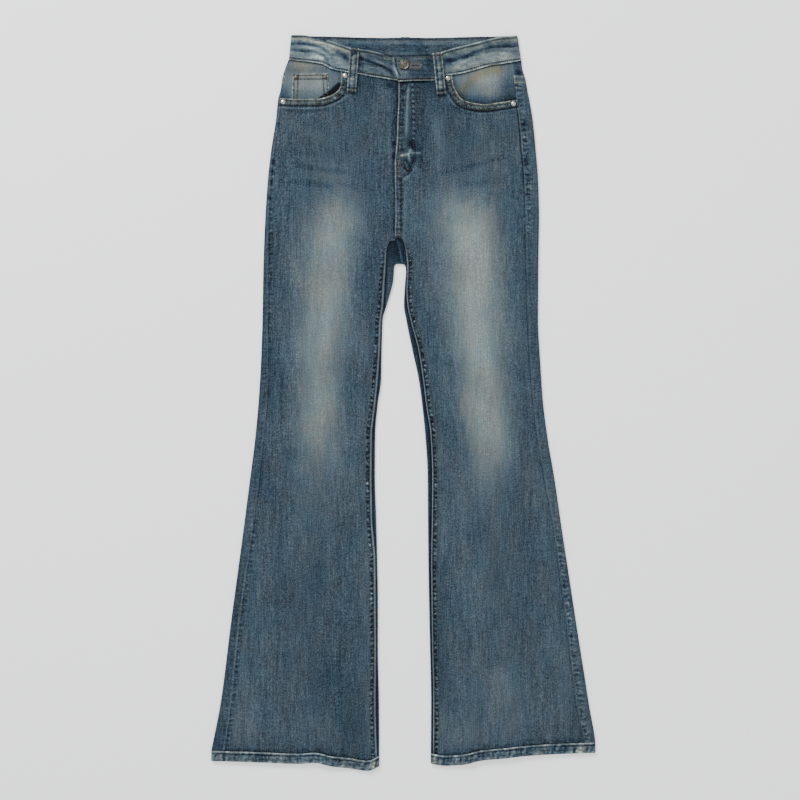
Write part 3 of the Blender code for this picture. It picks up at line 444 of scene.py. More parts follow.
# Some spots are painted shadow: those just under the waistband, near y = 466 to 470.
SPOTS = Table("x y half_width half_height tone", [
    (16, 410, 17, 60, -0.12), (43, 454, 16, 18, -0.07), (-52, 454, 50, 14, -0.03),
    (180, 417, 12, 40, -0.04), (150, -300, 70, 150, 0.025), (150, -460, 90, 60, 0.045),
    (-170, -470, 90, 60, 0.02), (-225, -330, 26, 110, 0.03), (-55, -300, 16, 230, 0.03),
    (235, -420, 20, 110, 0.03), (-152, 373, 34, 40, -0.035), (96, -276, 30, 120, 0.035),
    (54, -320, 12, 100, -0.04), (-99, -409, 26, 60, -0.07), (-70, -475, 16, 50, -0.06),
    (-229, -480, 22, 34, 0.06), (-152, -480, 26, 26, 0.03), (128, -438, 50, 55, 0.04),
    (149, -409, 14, 30, 0.04), (231, -400, 16, 70, 0.02), (-123, -232, 24, 60, -0.03),
    (-199, 107, 14, 170, -0.045), (-62, 328, 34, 34, -0.03), (143, 358, 34, 34, 0.035),
    (17, 152, 16, 60, -0.06), (-46, 152, 16, 60, -0.025), (-119, 225, 30, 40, -0.02),
    (186, 145, 14, 130, -0.02), (161, 255, 14, 40, -0.02), (-44, 215, 12, 60, -0.04),
    (-75, 41, 12, 16, -0.03), (60, 385, 40, 40, -0.03), (-60, 200, 20, 90, -0.03),
    (-177, 15, 15, 55, -0.08), (-184, 225, 18, 48, -0.055), (-207, -90, 14, 50, -0.06),
    (-118, -205, 24, 38, 0.07), (-172, -190, 22, 50, 0.03), (185, -108, 14, 40, 0.06),
    (217, -140, 16, 40, 0.045), (90, -487, 50, 22, 0.05), (76, -487, 9, 24, 0.03),
    (-49, -460, 9, 60, 0.055), (-112, -475, 24, 18, 0.03), (-56, 78, 11, 28, 0.05),
    (12, 352, 14, 20, -0.06), (-49, 275, 10, 14, -0.05), (57, 134, 10, 24, -0.045),
    (174, 340, 12, 16, -0.05), (174, 215, 13, 34, -0.045), (146, -43, 12, 16, -0.045),
    (110, 28, 12, 16, -0.04), (57, -62, 14, 30, 0.035), (62, -200, 16, 50, 0.03),
    (234, -260, 12, 60, 0.01), (-224, -275, 9, 40, -0.03), (124, -385, 20, 40, 0.03),
    (186, 28, 9, 50, 0.03), (125, 417, 20, 10, -0.035), (-87, 436, 16, 8, -0.05),
    (-155, 245, 18, 50, -0.025), (-66, 105, 10, 40, 0.02), (110, -149, 12, 16, -0.04),
    (-245, -345, 12, 40, 0.04), (-263, -450, 13, 32, 0.06), (200, -503, 12, 10, -0.05),
    (-166, -503, 16, 10, -0.045), (-45, 469, 42, 8, -0.09), (34, 466, 26, 12, -0.08),
    (78, 431, 46, 12, -0.07), (-128, 417, 18, 16, -0.03)]).rows()


def spots(x, y, rows):
    """Tone added by soft round spots."""
    return sum(spot["tone"] * np.exp(-((x - spot["x"]) / spot["half_width"]) ** 2 -
                                     ((y - spot["y"]) / spot["half_height"]) ** 2) for spot in rows)


def wash_and_shade(x, y):
    """Tone added by the wash and by painted shade: the pale columns plus the soft spots."""
    tone = 0.0
    for side in SIGN:
        table = FADE[side]
        middle = table.at("middle", y)
        half = np.where(x < middle, table.at("left", y), table.at("right", y))
        tone = tone + table.at("strength", y) * np.exp(-0.69 * (abs(x - middle) / half) ** 2.2)
    return tone + spots(x, y, SPOTS)


print("palest thigh tone:", round(float(wash_and_shade(np.array(97.0), np.array(237.0))), 3))

# %% [markdown]
# Cloth as a mesh.  A panel is worked out as a grid of points on the middle of its cloth, with a
# tone, a tint and a pucker for each: how pale, how tan and how dented it is.  Pushing every point
# out along the surface's normal by half the thickness gives the outside, and pushing it in gives
# the inside.  A rounded strip joins the two round the edge, because the cut edge of denim is
# soft.

# %% A mesh from arrays


def add_object(name, data):
    """A new object in the scene from a mesh, a light or a camera."""
    made = bpy.data.objects.new(name, data)
    bpy.context.scene.collection.objects.link(made)
    return made


def mesh_from(name, points, quads, tones=None):
    """A mesh of quads from arrays of points in millimetres, with tones: named values per point."""
    mesh = bpy.data.meshes.new(name)
    mesh.vertices.add(len(points))
    mesh.vertices.foreach_set("co", (points * MM).astype(np.float32).ravel())
    mesh.loops.add(quads.size)
    mesh.loops.foreach_set("vertex_index", quads.astype(np.int32).ravel())
    mesh.polygons.add(len(quads))
    mesh.polygons.foreach_set("loop_start", np.arange(0, quads.size, 4, dtype=np.int32))
    mesh.update(calc_edges=True)
    mesh.shade_smooth()
    for attribute, values in (tones or {}).items():
        layer = mesh.attributes.new(attribute, "FLOAT", "POINT")
        layer.data.foreach_set("value", np.ascontiguousarray(values, np.float32))
    piece = add_object(name, mesh)
    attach(piece, "root")
    return piece


def quads_of(shape, closed=False):
    """The quads of a grid of points, row by row; closed joins the last column to the first."""
    here = np.arange(shape[0] * shape[1]).reshape(shape)
    if closed:
        here = np.concatenate([here, here[:, :1]], axis=1)
    quads = np.stack([here[:-1, :-1], here[1:, :-1], here[1:, 1:], here[:-1, 1:]], axis=-1)
    return quads.reshape(-1, 4)


def sum_to(count, where, vectors):
    """Adds each vector to the point it belongs to."""
    return np.stack([np.bincount(where, vectors[:, k], count) for k in range(3)], axis=1)


def unit(vectors):
    """The vectors divided by their lengths."""
    size = np.linalg.norm(vectors, axis=-1, keepdims=True)
    return vectors / np.maximum(size, 1e-12)


def normals_of(points, quads):
    """The normal at each point: the sum of its quads' normals, made one long."""
    corner = points[quads]
    face = np.cross(corner[:, 2] - corner[:, 0], corner[:, 3] - corner[:, 1])
    return unit(sum_to(len(points), quads.ravel(), np.repeat(face, 4, axis=0)))


# %% A wall of cloth


def cloth(name, grid, thickness, tones=None, closed=False, start_up=True, inside_tone=0.0):
    """A closed wall of cloth on a grid of middle points; points marked nan are left out.

    start_up says that the outside faces up at the grid's first points, and inside_tone is added
    to the tone of the inside.  The outside surface is returned too, as a grid, for whatever is
    sewn to it.
    """
    shape = grid.shape[:2]
    flat = grid.reshape(-1, 3)
    kept = np.isfinite(flat).all(axis=1)
    number = np.cumsum(kept) - 1
    quads = quads_of(shape, closed)
    quads = number[quads[kept[quads].all(axis=1)]]
    points = flat[kept]
    normals = normals_of(points, quads)
    if (normals[:40, 2].mean() > 0) != start_up:
        quads, normals = quads[:, ::-1], -normals
    pair = np.stack([quads, np.roll(quads, -1, axis=1)], axis=-1).reshape(-1, 2)
    key = pair.min(axis=1) * len(points) + pair.max(axis=1)
    _, first, count = np.unique(key, return_index=True, return_counts=True)
    rim = pair[first[count == 1]]
    along = points[rim[:, 1]] - points[rim[:, 0]]
    outward = np.cross(along, normals[rim].sum(axis=1))
    edge, place = np.unique(rim, return_inverse=True)
    place = place.reshape(rim.shape)
    push = unit(sum_to(len(edge), place.ravel(), np.repeat(outward, 2, axis=0)))
    outside = points + normals * thickness / 2
    inside = points - normals * thickness / 2
    rounded = points[edge] + push * thickness * 0.28
    size = len(points)
    a, b = rim[:, 0], rim[:, 1]
    edge_a, edge_b = place[:, 0] + 2 * size, place[:, 1] + 2 * size
    walls = np.concatenate([np.stack([b, a, edge_a, edge_b], axis=1),
                            np.stack([edge_b, edge_a, a + size, b + size], axis=1)])
    faces = np.concatenate([quads, quads[:, ::-1] + size, walls])
    spread = {}
    for attribute, values in (tones or {}).items():
        values = np.broadcast_to(values, shape).ravel()[kept]
        within = np.broadcast_to(inside_tone * (attribute == "tone"), shape).ravel()[kept]
        spread[attribute] = np.concatenate([values, values + within, values[edge]])
    piece = mesh_from(name, np.concatenate([outside, inside, rounded]), faces, spread)
    surface = np.full(flat.shape, np.nan)
    surface[kept] = outside
    return piece, surface.reshape(grid.shape)


# %% Grids of points


def stack(*parts):
    """Joins blocks of (x, y, z), each spread to full rows, side by side into one grid."""
    blocks = [np.stack(np.broadcast_arrays(x, y, z), axis=-1) for x, y, z in parts]
    return np.concatenate(blocks, axis=1)


def crowd(count, squeeze=0.09):
    """Shares from 0 to 1 that crowd together at both ends, where the seams need fine cloth."""
    t = shares(count + 1)
    return t - squeeze * np.sin(2 * np.pi * t)


# %% [markdown]
# A front panel.  Its top edge is the pocket mouth and then the waist seam, and its lower rows run
# straight from the side seam to the inseam.  The part between is a sheet stretched between four
# boundary lines.  Rows follow the mouth closely there, so the turned band of the mouth is crisp.

# %% Edges that both the front and the back follow


def waist_y(side, x):
    """The lower edge of the front waistband."""
    return BAND_EDGES[side].at("low_y", x)


def follow_hem(side, x, y):
    """The lower leg and the hem take up the hem's drop."""
    return y - HEM_DROP[side].at("drop", x) * ease((HEM_LINE + HEM_EASE - y) / HEM_EASE)


def front_edge(side, level):
    """The front panel's inner edge: half a gap inside the rise seam or the inseam."""
    inner = INNER[side]
    edge_x, edge_y = inner.at("edge_x", level), inner.at("edge_y", level)
    to_fold_x = inner.at("fold_x", level) - edge_x
    to_fold_y = inner.at("fold_y", level) - edge_y
    reach = np.hypot(to_fold_x, to_fold_y)
    seam_side = np.where(level > FORK_SIDE, 0.0, 1.0)
    away_x = SIGN[side] - seam_side * to_fold_x / reach
    away_y = -seam_side * to_fold_y / reach
    size = np.hypot(away_x, away_y)
    return edge_x + GAP / 2 * away_x / size, edge_y + GAP / 2 * away_y / size


# %% The grid of a front panel


def sheet_between(top, low, near, far, u, v):
    """A sheet stretched between four boundary lines: two across and two down its sides.

    It is the sheet between the first two, plus the one between the other two, minus the flat one
    between the four corners.  u holds the shares across and v the shares down.
    """
    u, v = u[None, :, None], v[:, None, None]
    corners = between(between(top[0], top[-1], u), between(low[0], low[-1], u), v)
    return between(top[None], low[None], v) + between(near[:, None], far[:, None], u) - corners


def front_grid(side, share, split, rows, levels):
    """Middle points of a front panel, flat, and the hem not yet dropped."""
    sign, seam = SIGN[side], SIDE[side]
    mouth_share = 1 - share[share <= split + 1e-9] / split
    mouth = np.stack(trace(MOUTH[side], mouth_share), axis=1)
    end = RISE.at("x", 472.0) + (FLY_UNDERLAP if side == "right" else GAP / 2)
    waist_x = between(mouth[-1, 0], end, (share[len(mouth):] - split) / (1 - split))
    mouth[0, 0] = seam.at("seam", mouth[0, 1]) - sign * GAP / 2
    top_y = waist_y(side, np.append(mouth[-1, 0], waist_x)) - WAIST_GAP
    mouth[-1, 1] = top_y[0]
    top = np.concatenate([mouth, np.stack([waist_x, top_y[1:]], axis=1)])
    u = share[None, :]
    level = levels[:, None]
    edge_x, edge_y = front_edge(side, level)
    leg_x = between(seam.at("seam", level) - sign * GAP / 2, edge_x, u)
    leg = np.stack([leg_x, between(level, edge_y, u)], axis=-1)
    near_y = between(top[0, 1], leg[0, 0, 1], rows)
    near = np.stack([seam.at("seam", near_y) - sign * GAP / 2, near_y], axis=1)
    far_y = between(top[-1, 1], leg[0, -1, 1], rows)
    under = FLY_UNDERLAP * ease((far_y - FLY_FOOT) / (FLY_TOP - FLY_FOOT))
    far_x = RISE.at("x", far_y) + (under - GAP / 2 * (under < GAP) if side == "right" else GAP / 2)
    far = np.stack([far_x, far_y], axis=1)
    return np.concatenate([sheet_between(top, leg[0], near, far, share, rows)[:-1], leg])


SHARE, SPLIT, MOUTH_ROWS = crowd(104), 0.58, 60
FRONT_LEVELS = np.unique(np.concatenate([
    np.linspace(SEAT, FORK_SIDE, 64), np.linspace(FORK_SIDE, INSEAM_TOP, 40),
    np.linspace(INSEAM_TOP, HEM_LINE + GAP / 2, 274)]))[::-1]
flat_front = {side: front_grid(side, SHARE, SPLIT, shares(MOUTH_ROWS) ** 1.3, FRONT_LEVELS)
              for side in SIGN}
print("front panels:", {side: grid.shape[:2] for side, grid in flat_front.items()})

# %% [markdown]
# Relief and tone of a front panel.  Three kinds of seam cross it: the turned band along the
# pocket mouth, the felled seam down the inner leg, and the fly with its curved stitching.  Each
# is a raised band with a groove where the stitches pull it down, and puckers in between.

# %% Relief of the sewn bands
MOUTH_WIDTH, FELL_WIDTH = 9.2, 9.0


def blotches(away, along, spacing, width, seed, strength=0.24):
    """Dark valleys beside a seam, with a pale crest after each: relief and tone."""
    near = bump(away, width)
    valley = puckers(along, spacing, 0.24 * spacing, seed, 0.6) * near
    crest = puckers(along + 0.45 * spacing, spacing, 0.16 * spacing, seed, 0.6) * near
    return 0.3 * crest - 0.6 * valley, 0.7 * strength * crest - strength * valley


def sewn_band(away, along, width, spacing, seed):
    """The double band round a pocket mouth: its relief and its tone.

    The band is raised by half a millimetre up to its width, with a groove at each of its two
    lines of stitches, and valleys cross it where the thread has puckered it.  Its very edge is
    worn pale, and beyond the band lies a dark line of painted shadow and then a pale one.
    """
    inside = 1 - ease((away - width + 0.6) / 1.4)
    valley = puckers(along, spacing, spacing * 0.22, seed) * inside
    groove = bump(away - 3.0, 1.0) + bump(away - width + 0.6, 1.0)
    shadow, beyond = bump(away - width - 1.2, 1.3), bump(away - width - 4.2, 1.2)
    relief = 0.5 * inside - 0.45 * valley - 0.18 * groove - 0.3 * shadow
    tone = 0.28 * bump(away - 0.3, 1.1) - 0.17 * groove - 0.24 * shadow + 0.17 * beyond
    return relief, tone + 0.05 * inside - 0.18 * valley


def felled_edge(away, along, seed):
    """The inseam's edge: worn pale, with a dark line and then a chain of blotches beside it."""
    inside = 1 - ease((away - FELL_WIDTH) / 1.4)
    relief, tone = blotches(away - 5.0, along, 7.0, 2.3, seed, 0.30)
    relief = 0.4 * inside + relief - 0.2 * bump(away - FELL_WIDTH - 0.4, 1.3)
    return relief, tone + bells(away, (-0.07, 5.0, 2.4), (0.33, 0.2, 0.9), (-0.20, 2.6, 0.9))


# %% Whiskers, painted shadows under the pockets, and marks at the fly and at the side seams
# Each line is its places, its width, the tone that it adds and how far it stands up.
WHISKERS_AND_POCKET_SHADOWS = [
    ([(-155.5, 349), (-122.5, 343.5), (-82, 338.5)], 3.5, -0.075, -0.5),
    ([(-168.5, 327.5), (-137.5, 322.5), (-103, 317)], 4, -0.065, -0.5),
    ([(-174, 415.5), (-149, 402.5), (-116.5, 386)], 9, 0.04, 0.3),
    ([(-177, 373), (-152, 370), (-122.5, 364)], 3.5, -0.035, -0.3),
    ([(-96, 322.5), (-60.5, 314)], 4, -0.03, -0.2),
    ([(49.5, 336), (98.5, 347.5), (154.5, 362)], 3.8, -0.065, -0.5),
    ([(81, 319.5), (121, 324), (159, 330)], 4, -0.045, -0.4),
    ([(50, 427.5), (51.5, 387.5), (48.5, 343.5)], 6.5, 0.05, 0.2),
    # The last two lines are painted shadows under the pocket mouths.
    ([(72, 436), (98.5, 429), (128, 428), (162, 432)], 3.5, -0.12, -0.3),
    ([(-175.5, 431), (-144.5, 429.5), (-108, 433.5)], 3.5, -0.1, -0.3)]
FLY_STITCHES, FLY_ENDS, FLY_HIGH = (20.0, 28.5), (384.0, 379.0), 470
FLY_CURVE = [(17.5, 362), (13, 347), (4, 336), (-4, 332)]
# Among these marks, the dark lines on the right front just beside the fly's raised edge are painted
# shade.
FLY_MARKS = [
    ([(12, 367.6), (26.5, 367.6)], 1.6, 0.3, 0.5),
    ([(-4.5, 364), (8, 366), (11.7, 374.5)], 1.5, 0.34, 0.5),
    ([(8, 365), (10.2, 355)], 1.5, 0.3, 0.4), ([(10, 385), (17.5, 374)], 4.4, -0.22, -0.5),
    ([(15, 362), (15, 352)], 3.8, -0.2, -0.5), ([(2, 372), (-4, 371)], 2.6, -0.16, -0.2),
    ([(-13, 384.5), (-13.5, 377)], 2.6, -0.2, -0.3),
    ([(-13.5, 367), (-13, 359.5)], 2.8, -0.22, -0.3),
    ([(23.5, 384.5), (26.5, 346.5)], 4, -0.07, -0.2), ([(17.5, 372), *FLY_CURVE], 1.6, -0.14, -0.3),
    ([(18, 347), (9, 334), (-2, 328)], 1.4, 0.14, 0.2), ([(3, 359), (6, 343)], 4.5, -0.16, 0),
    ([(6, 351), (9, 345)], 1.2, 0.26, 0.3), ([(1, 343), (5, 339)], 1.2, 0.22, 0.3),
    ([(8.5, 466), (6, 439), (5, 396.5)], 2.2, 0.2, 0.5),
    ([(-23.5, 467), (-15, 464.5)], 4, -0.12, 0), ([(-2.5, 330), (-3, 243)], 2.0, -0.18, -0.3),
    ([(-13.5, 461.5), (-15.5, 387.5)], 3.2, -0.06, 0), ([(-13, 243), (-2, 240)], 3, -0.2, -0.3),
    ([(5, 349), (9, 341)], 6, -0.20, -0.2)]
SIDE_MARKS = [
    ([(179, 418.5), (179, 405.5)], 4.2, -0.22, -0.6),
    ([(180, 367), (181.5, 347.5)], 4.2, -0.24, -0.6),
    ([(183.5, 337.5), (184.5, 328.5)], 4, -0.18, -0.5),
    ([(183.5, 311), (185, 302)], 3.5, -0.12, -0.4), ([(177, 390.5), (187, 386)], 2.6, 0.1, 0.3),
    ([(178.5, 377), (188.5, 373)], 2.4, 0.08, 0.3), ([(181.5, 319.5), (190, 317)], 2.4, 0.07, 0.3),
    ([(-192, 358), (-192, 352)], 2.4, -0.25, -0.5),
    ([(-193, 343.5), (-193, 339)], 2.4, -0.25, -0.5),
    ([(-194.5, 328.5), (-194.5, 322.5)], 2.4, -0.25, -0.5),
    ([(-184.5, 412.5), (-185.5, 405.5)], 2.4, -0.2, -0.4),
    ([(-197, 305), (-197.5, 299)], 2.2, -0.2, -0.4),
    ([(166.5, 489.5), (172.5, 485)], 3.5, -0.2, -0.3),
    ([(165, 468.5), (174, 467)], 1.8, -0.3, -0.3),
    ([(163.5, 466.5), (169.5, 446.5)], 1.2, -0.12, 0)]


def drawn(x, y, lines):
    """Creases, ridges and tacks drawn along smooth lines: their relief and their tone."""
    relief, tone = np.zeros(x.shape), np.zeros(x.shape)
    for places, width, shade, height in lines:
        away, along, length = from_curve(x, y, places, reach=5.5 * width)
        share = along / length
        ends = ease(6 * share + 0.4) * ease(6 * (1 - share) + 0.4)
        # Dark lines get a faint pale lip beside them: partly a worn ridge, partly painted
        # highlight.
        touch, lip = bump(away, width) * ends, bump(away - 2.4 * width, 1.1 * width) * ends
        relief, tone = relief + height * touch, tone + shade * touch + 0.2 * max(-shade, 0) * lip
    return relief, tone


# %% The dressed front panels


def fly_spread(y):
    """How much further from the fly's edge its stitches run lower down."""
    return 4 * ease((FLY_HIGH - y) / 70)


def dress_fly(y, from_edge, above):
    """The fly on the left front: its worn edge, the puckers beside it and the grooves of its J."""
    flying = ease((y - FLY_TOP) / 8)
    height, tone = blotches(from_edge - 6.2, y, 11.8, 3.4, 31, 0.46 * flying + 0.16)
    dash = ease(1.4 * np.sin(2 * np.pi * y / 7.9) + 0.3)
    for line, dark, pale in zip(FLY_STITCHES, (0.20, 0.14), (0.42, 0.10)):
        groove = bump(from_edge - line - fly_spread(y), 1.5) * flying
        height = height - 0.3 * groove * (1 - dash)
        tone = tone + groove * (pale * dash - dark * (1 - dash))
    tone = tone + bells(from_edge, (0.38, 0, 0.8), (-0.20, 2.5, 0.9))
    return height * above, tone * above


def dress_front(side):
    """A front panel with all its relief and tones.

    Its outside surface and each point's distances from its seams are returned too, for sewing.
    """
    x, y = np.moveaxis(flat_front[side], -1, 0)
    edge_y, left, seed = y[:, -1:], side == "left", 20 if side == "left" else 10
    from_side, from_inner = abs(SIDE[side].at("seam", y) - x), np.hypot(x - x[:, -1:], y - edge_y)
    from_mouth, along_mouth, _ = from_curve(x, y, MOUTH[side], 400)
    from_waist = waist_y(side, x) - GAP - y
    height, tone = front_height(side, x, y), wash_and_shade(x, y)
    below_fork = ease((236 - edge_y) / 22)
    bands = (
        (1.0, sewn_band(from_mouth, along_mouth, MOUTH_WIDTH, 5.0, seed)),
        (below_fork, felled_edge(from_inner, y, seed + 1)), (1.0, drawn(x, y, WHISKERS_AND_POCKET_SHADOWS)),
        (1.0, drawn(x, y, SIDE_MARKS)), (1.25, drawn(x, y, FLY_MARKS)))
    for share, (relief, worn) in bands:
        height, tone = height + share * relief, tone + share * worn

    hip = left * ease((y - 290) / 60)
    if left:
        rough, side_edge_highlight = 0.0, 0.14 + 0.20 * hip
        relief, worn = dress_fly(y, from_inner, ease((edge_y - 240) / 6))
        height, tone = height + relief, tone + worn
    else:
        rough = np.maximum(ease((-120 - y) / 90), 0.8 * ease((380 - y) / 40) * ease((y - 20) / 120))
        side_edge_highlight, fly_edge_shadow = 0.12, bells(RISE.at("x", y) - x, (0.17, 1, 3.2), (0.04, 0, 12))
        # Painted shadow of the fly's raised edge, on the right front beside the rise.
        tone = tone - fly_edge_shadow * ease((y - 246) / 6)
    relief, marks = blotches(from_side - 4.0, y, 12.5, 3.4, seed + 2, 0.40)
    height = height + rough * relief - 0.25 * bump(from_side, 1.2)
    # The panel's edge at the side seam gets a painted highlight, and a darker line beside it.
    tone = tone + rough * marks + side_edge_highlight * bump(from_side, 1.1)
    tone = tone - (0.10 + 0.22 * hip) * bump(from_side - 2.4, 1.0)

    # Painted shadow on the panel just under the waistband, where it also dips.
    under_band_dip_and_shadow = bells(from_waist, (1, 0, 1.8), (0.35, 2, 5)) * ease(from_mouth - 2)
    above_hem = y - HEM_LINE
    tucks = puckers(x, 11.0, 2.4, seed + 3) * bump(above_hem - 1, 6.0)
    height = height - 0.3 * under_band_dip_and_shadow - 0.5 * bump(above_hem, 2.4) - 0.5 * tucks
    # Just above the hem the panel dips and is darkened with painted shadow.
    tone = tone - 0.20 * under_band_dip_and_shadow - bells(above_hem, (0.14, 0, 2), (0.06, 0, 7)) - 0.10 * tucks
    grid = stack((x, follow_hem(side, x, y), height))
    outer = ease((abs(x) - 70) / 70) * ease((y - 300) / 60)
    tint = 0.5 * (from_mouth < 9.4) + 0.08 * outer + 0.2 * left * bump(from_inner - 8, 4)
    pucker = 0.5 * (1 - ease((from_mouth - 9) / 1.4)) + 0.5 * rough * bump(from_side - 4, 4)
    pucker = pucker + 0.3 * bump(above_hem, 8) + bells(
        from_inner, (1.3 * below_fork, 4.8, 2.4), (0.6 * left * (edge_y > 240), 6, 5))
    tones = dict(tone=tone, tint=tint, pucker=pucker)
    piece, surface = cloth(f"cloth_front_{side}", grid, CLOTH, tones)
    return piece, grid, surface, dict(inner=from_inner, mouth=from_mouth)


def report(pieces):
    """Prints the number of faces of each piece."""
    print({piece.name: len(piece.data.polygons) for piece, *_ in pieces.values()}, "faces")


fronts = {side: dress_front(side) for side in SIGN}
report(fronts)

# %% [markdown]
# A back panel starts at the side seam on top, turns over the side fold, runs flat underneath to
# the inner fold, and comes up again to the inseam.  So one grid, read across, goes strip, turn,
# floor, turn, strip.  Above the crotch it stops at the centre back seam.

# %% Folds and floors


def half_turn(x, y, out_x, out_y, high, low, radius, turn):
    """A fold: half a turn from the upper layer to the lower, outwards from its centre line."""
    reach = radius * np.sin(turn)
    return (x + out_x * reach, y + out_y * reach,
            (high + low) / 2 + (high - low) / 2 * np.cos(turn))


STRIP, TURNS = 12, 10
ACROSS_STRIP = shares(STRIP + 1)[None, :]
TURN = np.linspace(0, np.pi, TURNS + 1)[None, 1:-1]


def side_fold(side, level):
    """Where the side fold starts, the strip from the seam to it, and the turn round it."""
    sign = SIGN[side]
    side_x = SIDE[side].at("fold", level) - sign * FOLD_INSET
    seam_x = between(SIDE[side].at("seam", level) + sign * GAP / 2, side_x, ACROSS_STRIP)
    high, low = top_height(side_x, level), bottom_height(side_x, level)
    return side_x, seam_x, half_turn(side_x, level, sign, 0, high, low, FOLD_RADIUS, TURN)


def floor_shares(start_x, end_x, places):
    """The shares of the way across the floor at some places, with 0 before and 1 after them."""
    share = (places - start_x) / (end_x - start_x)
    return np.pad(share, [(0, 0), (1, 1)], constant_values=[(0, 0), (0, 1)])


# %% The grid of a back panel


def back_grid(side, level, floor_x):
    """Middle points of a back panel; nan marks what a row above the crotch doesn't have."""
    sign, level = SIGN[side], level[:, None]
    side_x, seam_x, side_turn = side_fold(side, level)
    seam_strip = (seam_x, level, top_height(seam_x, level))
    inner = INNER[side]
    facing = np.radians(inner.at("turn", level))
    out_x, out_y = np.cos(facing), np.sin(facing)
    shift = sign * GAP / 2 * (1 - ease((FORK_SIDE - level) / 10))
    seat = level > FORK_SIDE
    in_x = inner.at("fold_x", level) - out_x * FOLD_INSET + shift
    in_x = np.where(seat, BACK_SEAM + sign * GAP / 2, in_x)
    straight = np.interp(level, [BACK_STRAIGHT, YOKE_SIDE], [BACK_STRAIGHT, YOKE_BACK - GAP / 2])
    in_y = np.where(level > BACK_STRAIGHT, straight, level)
    in_y = np.where(seat, in_y, inner.at("fold_y", level) - out_y * FOLD_INSET)
    share = floor_shares(side_x, in_x, sign * floor_x)
    share = np.where(level < FORK_SIDE, share[int(np.argmin(abs(level - FORK_SIDE)))], share)
    floor_at_x, floor_at_y = between(side_x, in_x, share), between(level, in_y, share)
    floor = (floor_at_x, floor_at_y, bottom_height(floor_at_x, floor_at_y))
    high, low = top_height(in_x, in_y), bottom_height(in_x, in_y)
    x, y, z = half_turn(in_x, in_y, out_x, out_y, high, low, FOLD_RADIUS, TURN[:, ::-1])
    edge_x, edge_y = inner.at("edge_x", level), inner.at("edge_y", level)
    reach = np.hypot(in_x - edge_x, in_y - edge_y)
    edge_x = edge_x + GAP / 2 * (in_x - edge_x) / reach + shift
    edge_y = edge_y + GAP / 2 * (in_y - edge_y) / reach
    end_x, end_y = (between(*ends, ACROSS_STRIP) for ends in ((in_x, edge_x), (in_y, edge_y)))
    inseam_strip = (np.where(seat, np.nan, end_x), end_y, top_height(end_x, end_y))
    return stack(seam_strip, side_turn, floor, (np.where(seat, np.nan, x), y, z), inseam_strip)


# %% The grid of a yoke
BACK_HALF = 165.0


def back_dip(x):
    """How far the back dips, as a share: 1 at its centre and 0 at the side folds."""
    return 1 - np.clip(abs(x) / BACK_HALF, 0, 1) ** 2


def back_edge(x, y):
    """The waistband's lower edge across the back, which dips from y at the sides."""
    return y - (y - BAND_LOW_BACK) * back_dip(x)


def yoke_grid(side, rows, floor_x):
    """Middle points of a yoke, from the waistband to the yoke seam, over the side fold."""
    sign, v = SIGN[side], shares(rows + 1)[:, None]
    at_side = waist_y(side, sign * 1000)
    level = between(at_side - WAIST_GAP, YOKE_SIDE + GAP / 2, v)
    side_x, seam_x, side_turn = side_fold(side, level)
    seam_y = level - between(waist_y(side, side_x) -
                             waist_y(side, seam_x), 0, v)
    in_x = BACK_SEAM + sign * GAP / 2
    share = floor_shares(side_x, in_x, sign * floor_x)
    x = between(side_x, in_x, share)
    yoke_seam = between(YOKE_SIDE, YOKE_BACK, share) + GAP / 2
    y = between(back_edge(x, at_side) - WAIST_GAP, yoke_seam, v)
    return stack((seam_x, seam_y, top_height(seam_x, seam_y)), side_turn,
                 (x, y, bottom_height(x, y)))


# %% The dressed back panels
BACK_LEVELS = np.unique(np.concatenate([
    np.linspace(YOKE_SIDE - GAP / 2, FORK_SIDE, 84), np.linspace(FORK_SIDE, INSEAM_TOP, 36),
    np.linspace(INSEAM_TOP, HEM_LINE + GAP / 2, 232)]))[::-1]


def dress_back(side):
    """A back panel: its strip beside the side seam shows, and so does the one beside the inseam."""
    grid = back_grid(side, BACK_LEVELS, np.linspace(168, 10, 30))
    x, y, _ = np.moveaxis(grid, -1, 0)
    column = np.arange(grid.shape[1])[None, :]
    on_strip, on_inner = column <= STRIP, column >= grid.shape[1] - STRIP - 1
    away, from_seam = abs(x - x[:, :1]), np.hypot(x - x[:, -1:], y - y[:, -1:])
    if side == "left":
        seed, sway, dark_fork = 50, 0.3 + 0.7 * ease((abs(y - 40) - 190) / 90), 0.14
        shade = -0.14 - 0.2 * bump(from_seam - 0.6, 2.2)
    else:
        seed, sway, dark_fork = 40, 0.35, 0.24
        shade = bells(from_seam, (0.36, 0, 0.8), (-0.26, 2.6, 1.6)) - 0.05
    relief, marks = drawn(x, y, SIDE_MARKS)
    dents, dark = blotches(away - 3.6, y, 14.8, 4.4, seed, 0.42)
    grid[..., 2] += on_strip * (relief + sway * dents)
    tone = wash_and_shade(x, y) + 0.01 + 0.8 * marks + dark * sway * on_strip
    tone = tone + (0.08 * bump(away, 1.0) + 0.07 * sway * bump(away - 5, 4)) * on_strip
    shade = shade - dark_fork * bump(np.hypot(x + 5, y - 225), 34)
    shade = shade + 0.34 * bump(from_line(x, y, dict(x0=-8, y0=240, x1=-1, y1=206))[0], 1.2)
    tone = np.where(on_inner, shade, tone)
    tone = np.where((column > STRIP + TURNS) & ~on_inner, 0.25 * wash_and_shade(x, y), tone)
    low = (side == "right") * on_strip * ease((-180 - y) / 90)
    tone = tone + low * (0.14 * bump(away, 1.0) - 0.09)
    # Painted shade along the side fold.
    from_fold = x - SIDE[side].at("fold", y)
    tone = tone - 0.06 * bump(from_fold, 2.0) * (column < STRIP + TURNS)
    grid[..., 1] = follow_hem(side, x, y)
    pucker = 0.7 * sway * on_strip * bump(away - 4, 6)
    tones = dict(tone=np.nan_to_num(tone), tint=0.0, pucker=pucker)
    return cloth(f"cloth_back_{side}", grid, CLOTH, tones)[0], grid


# %% The dressed yokes


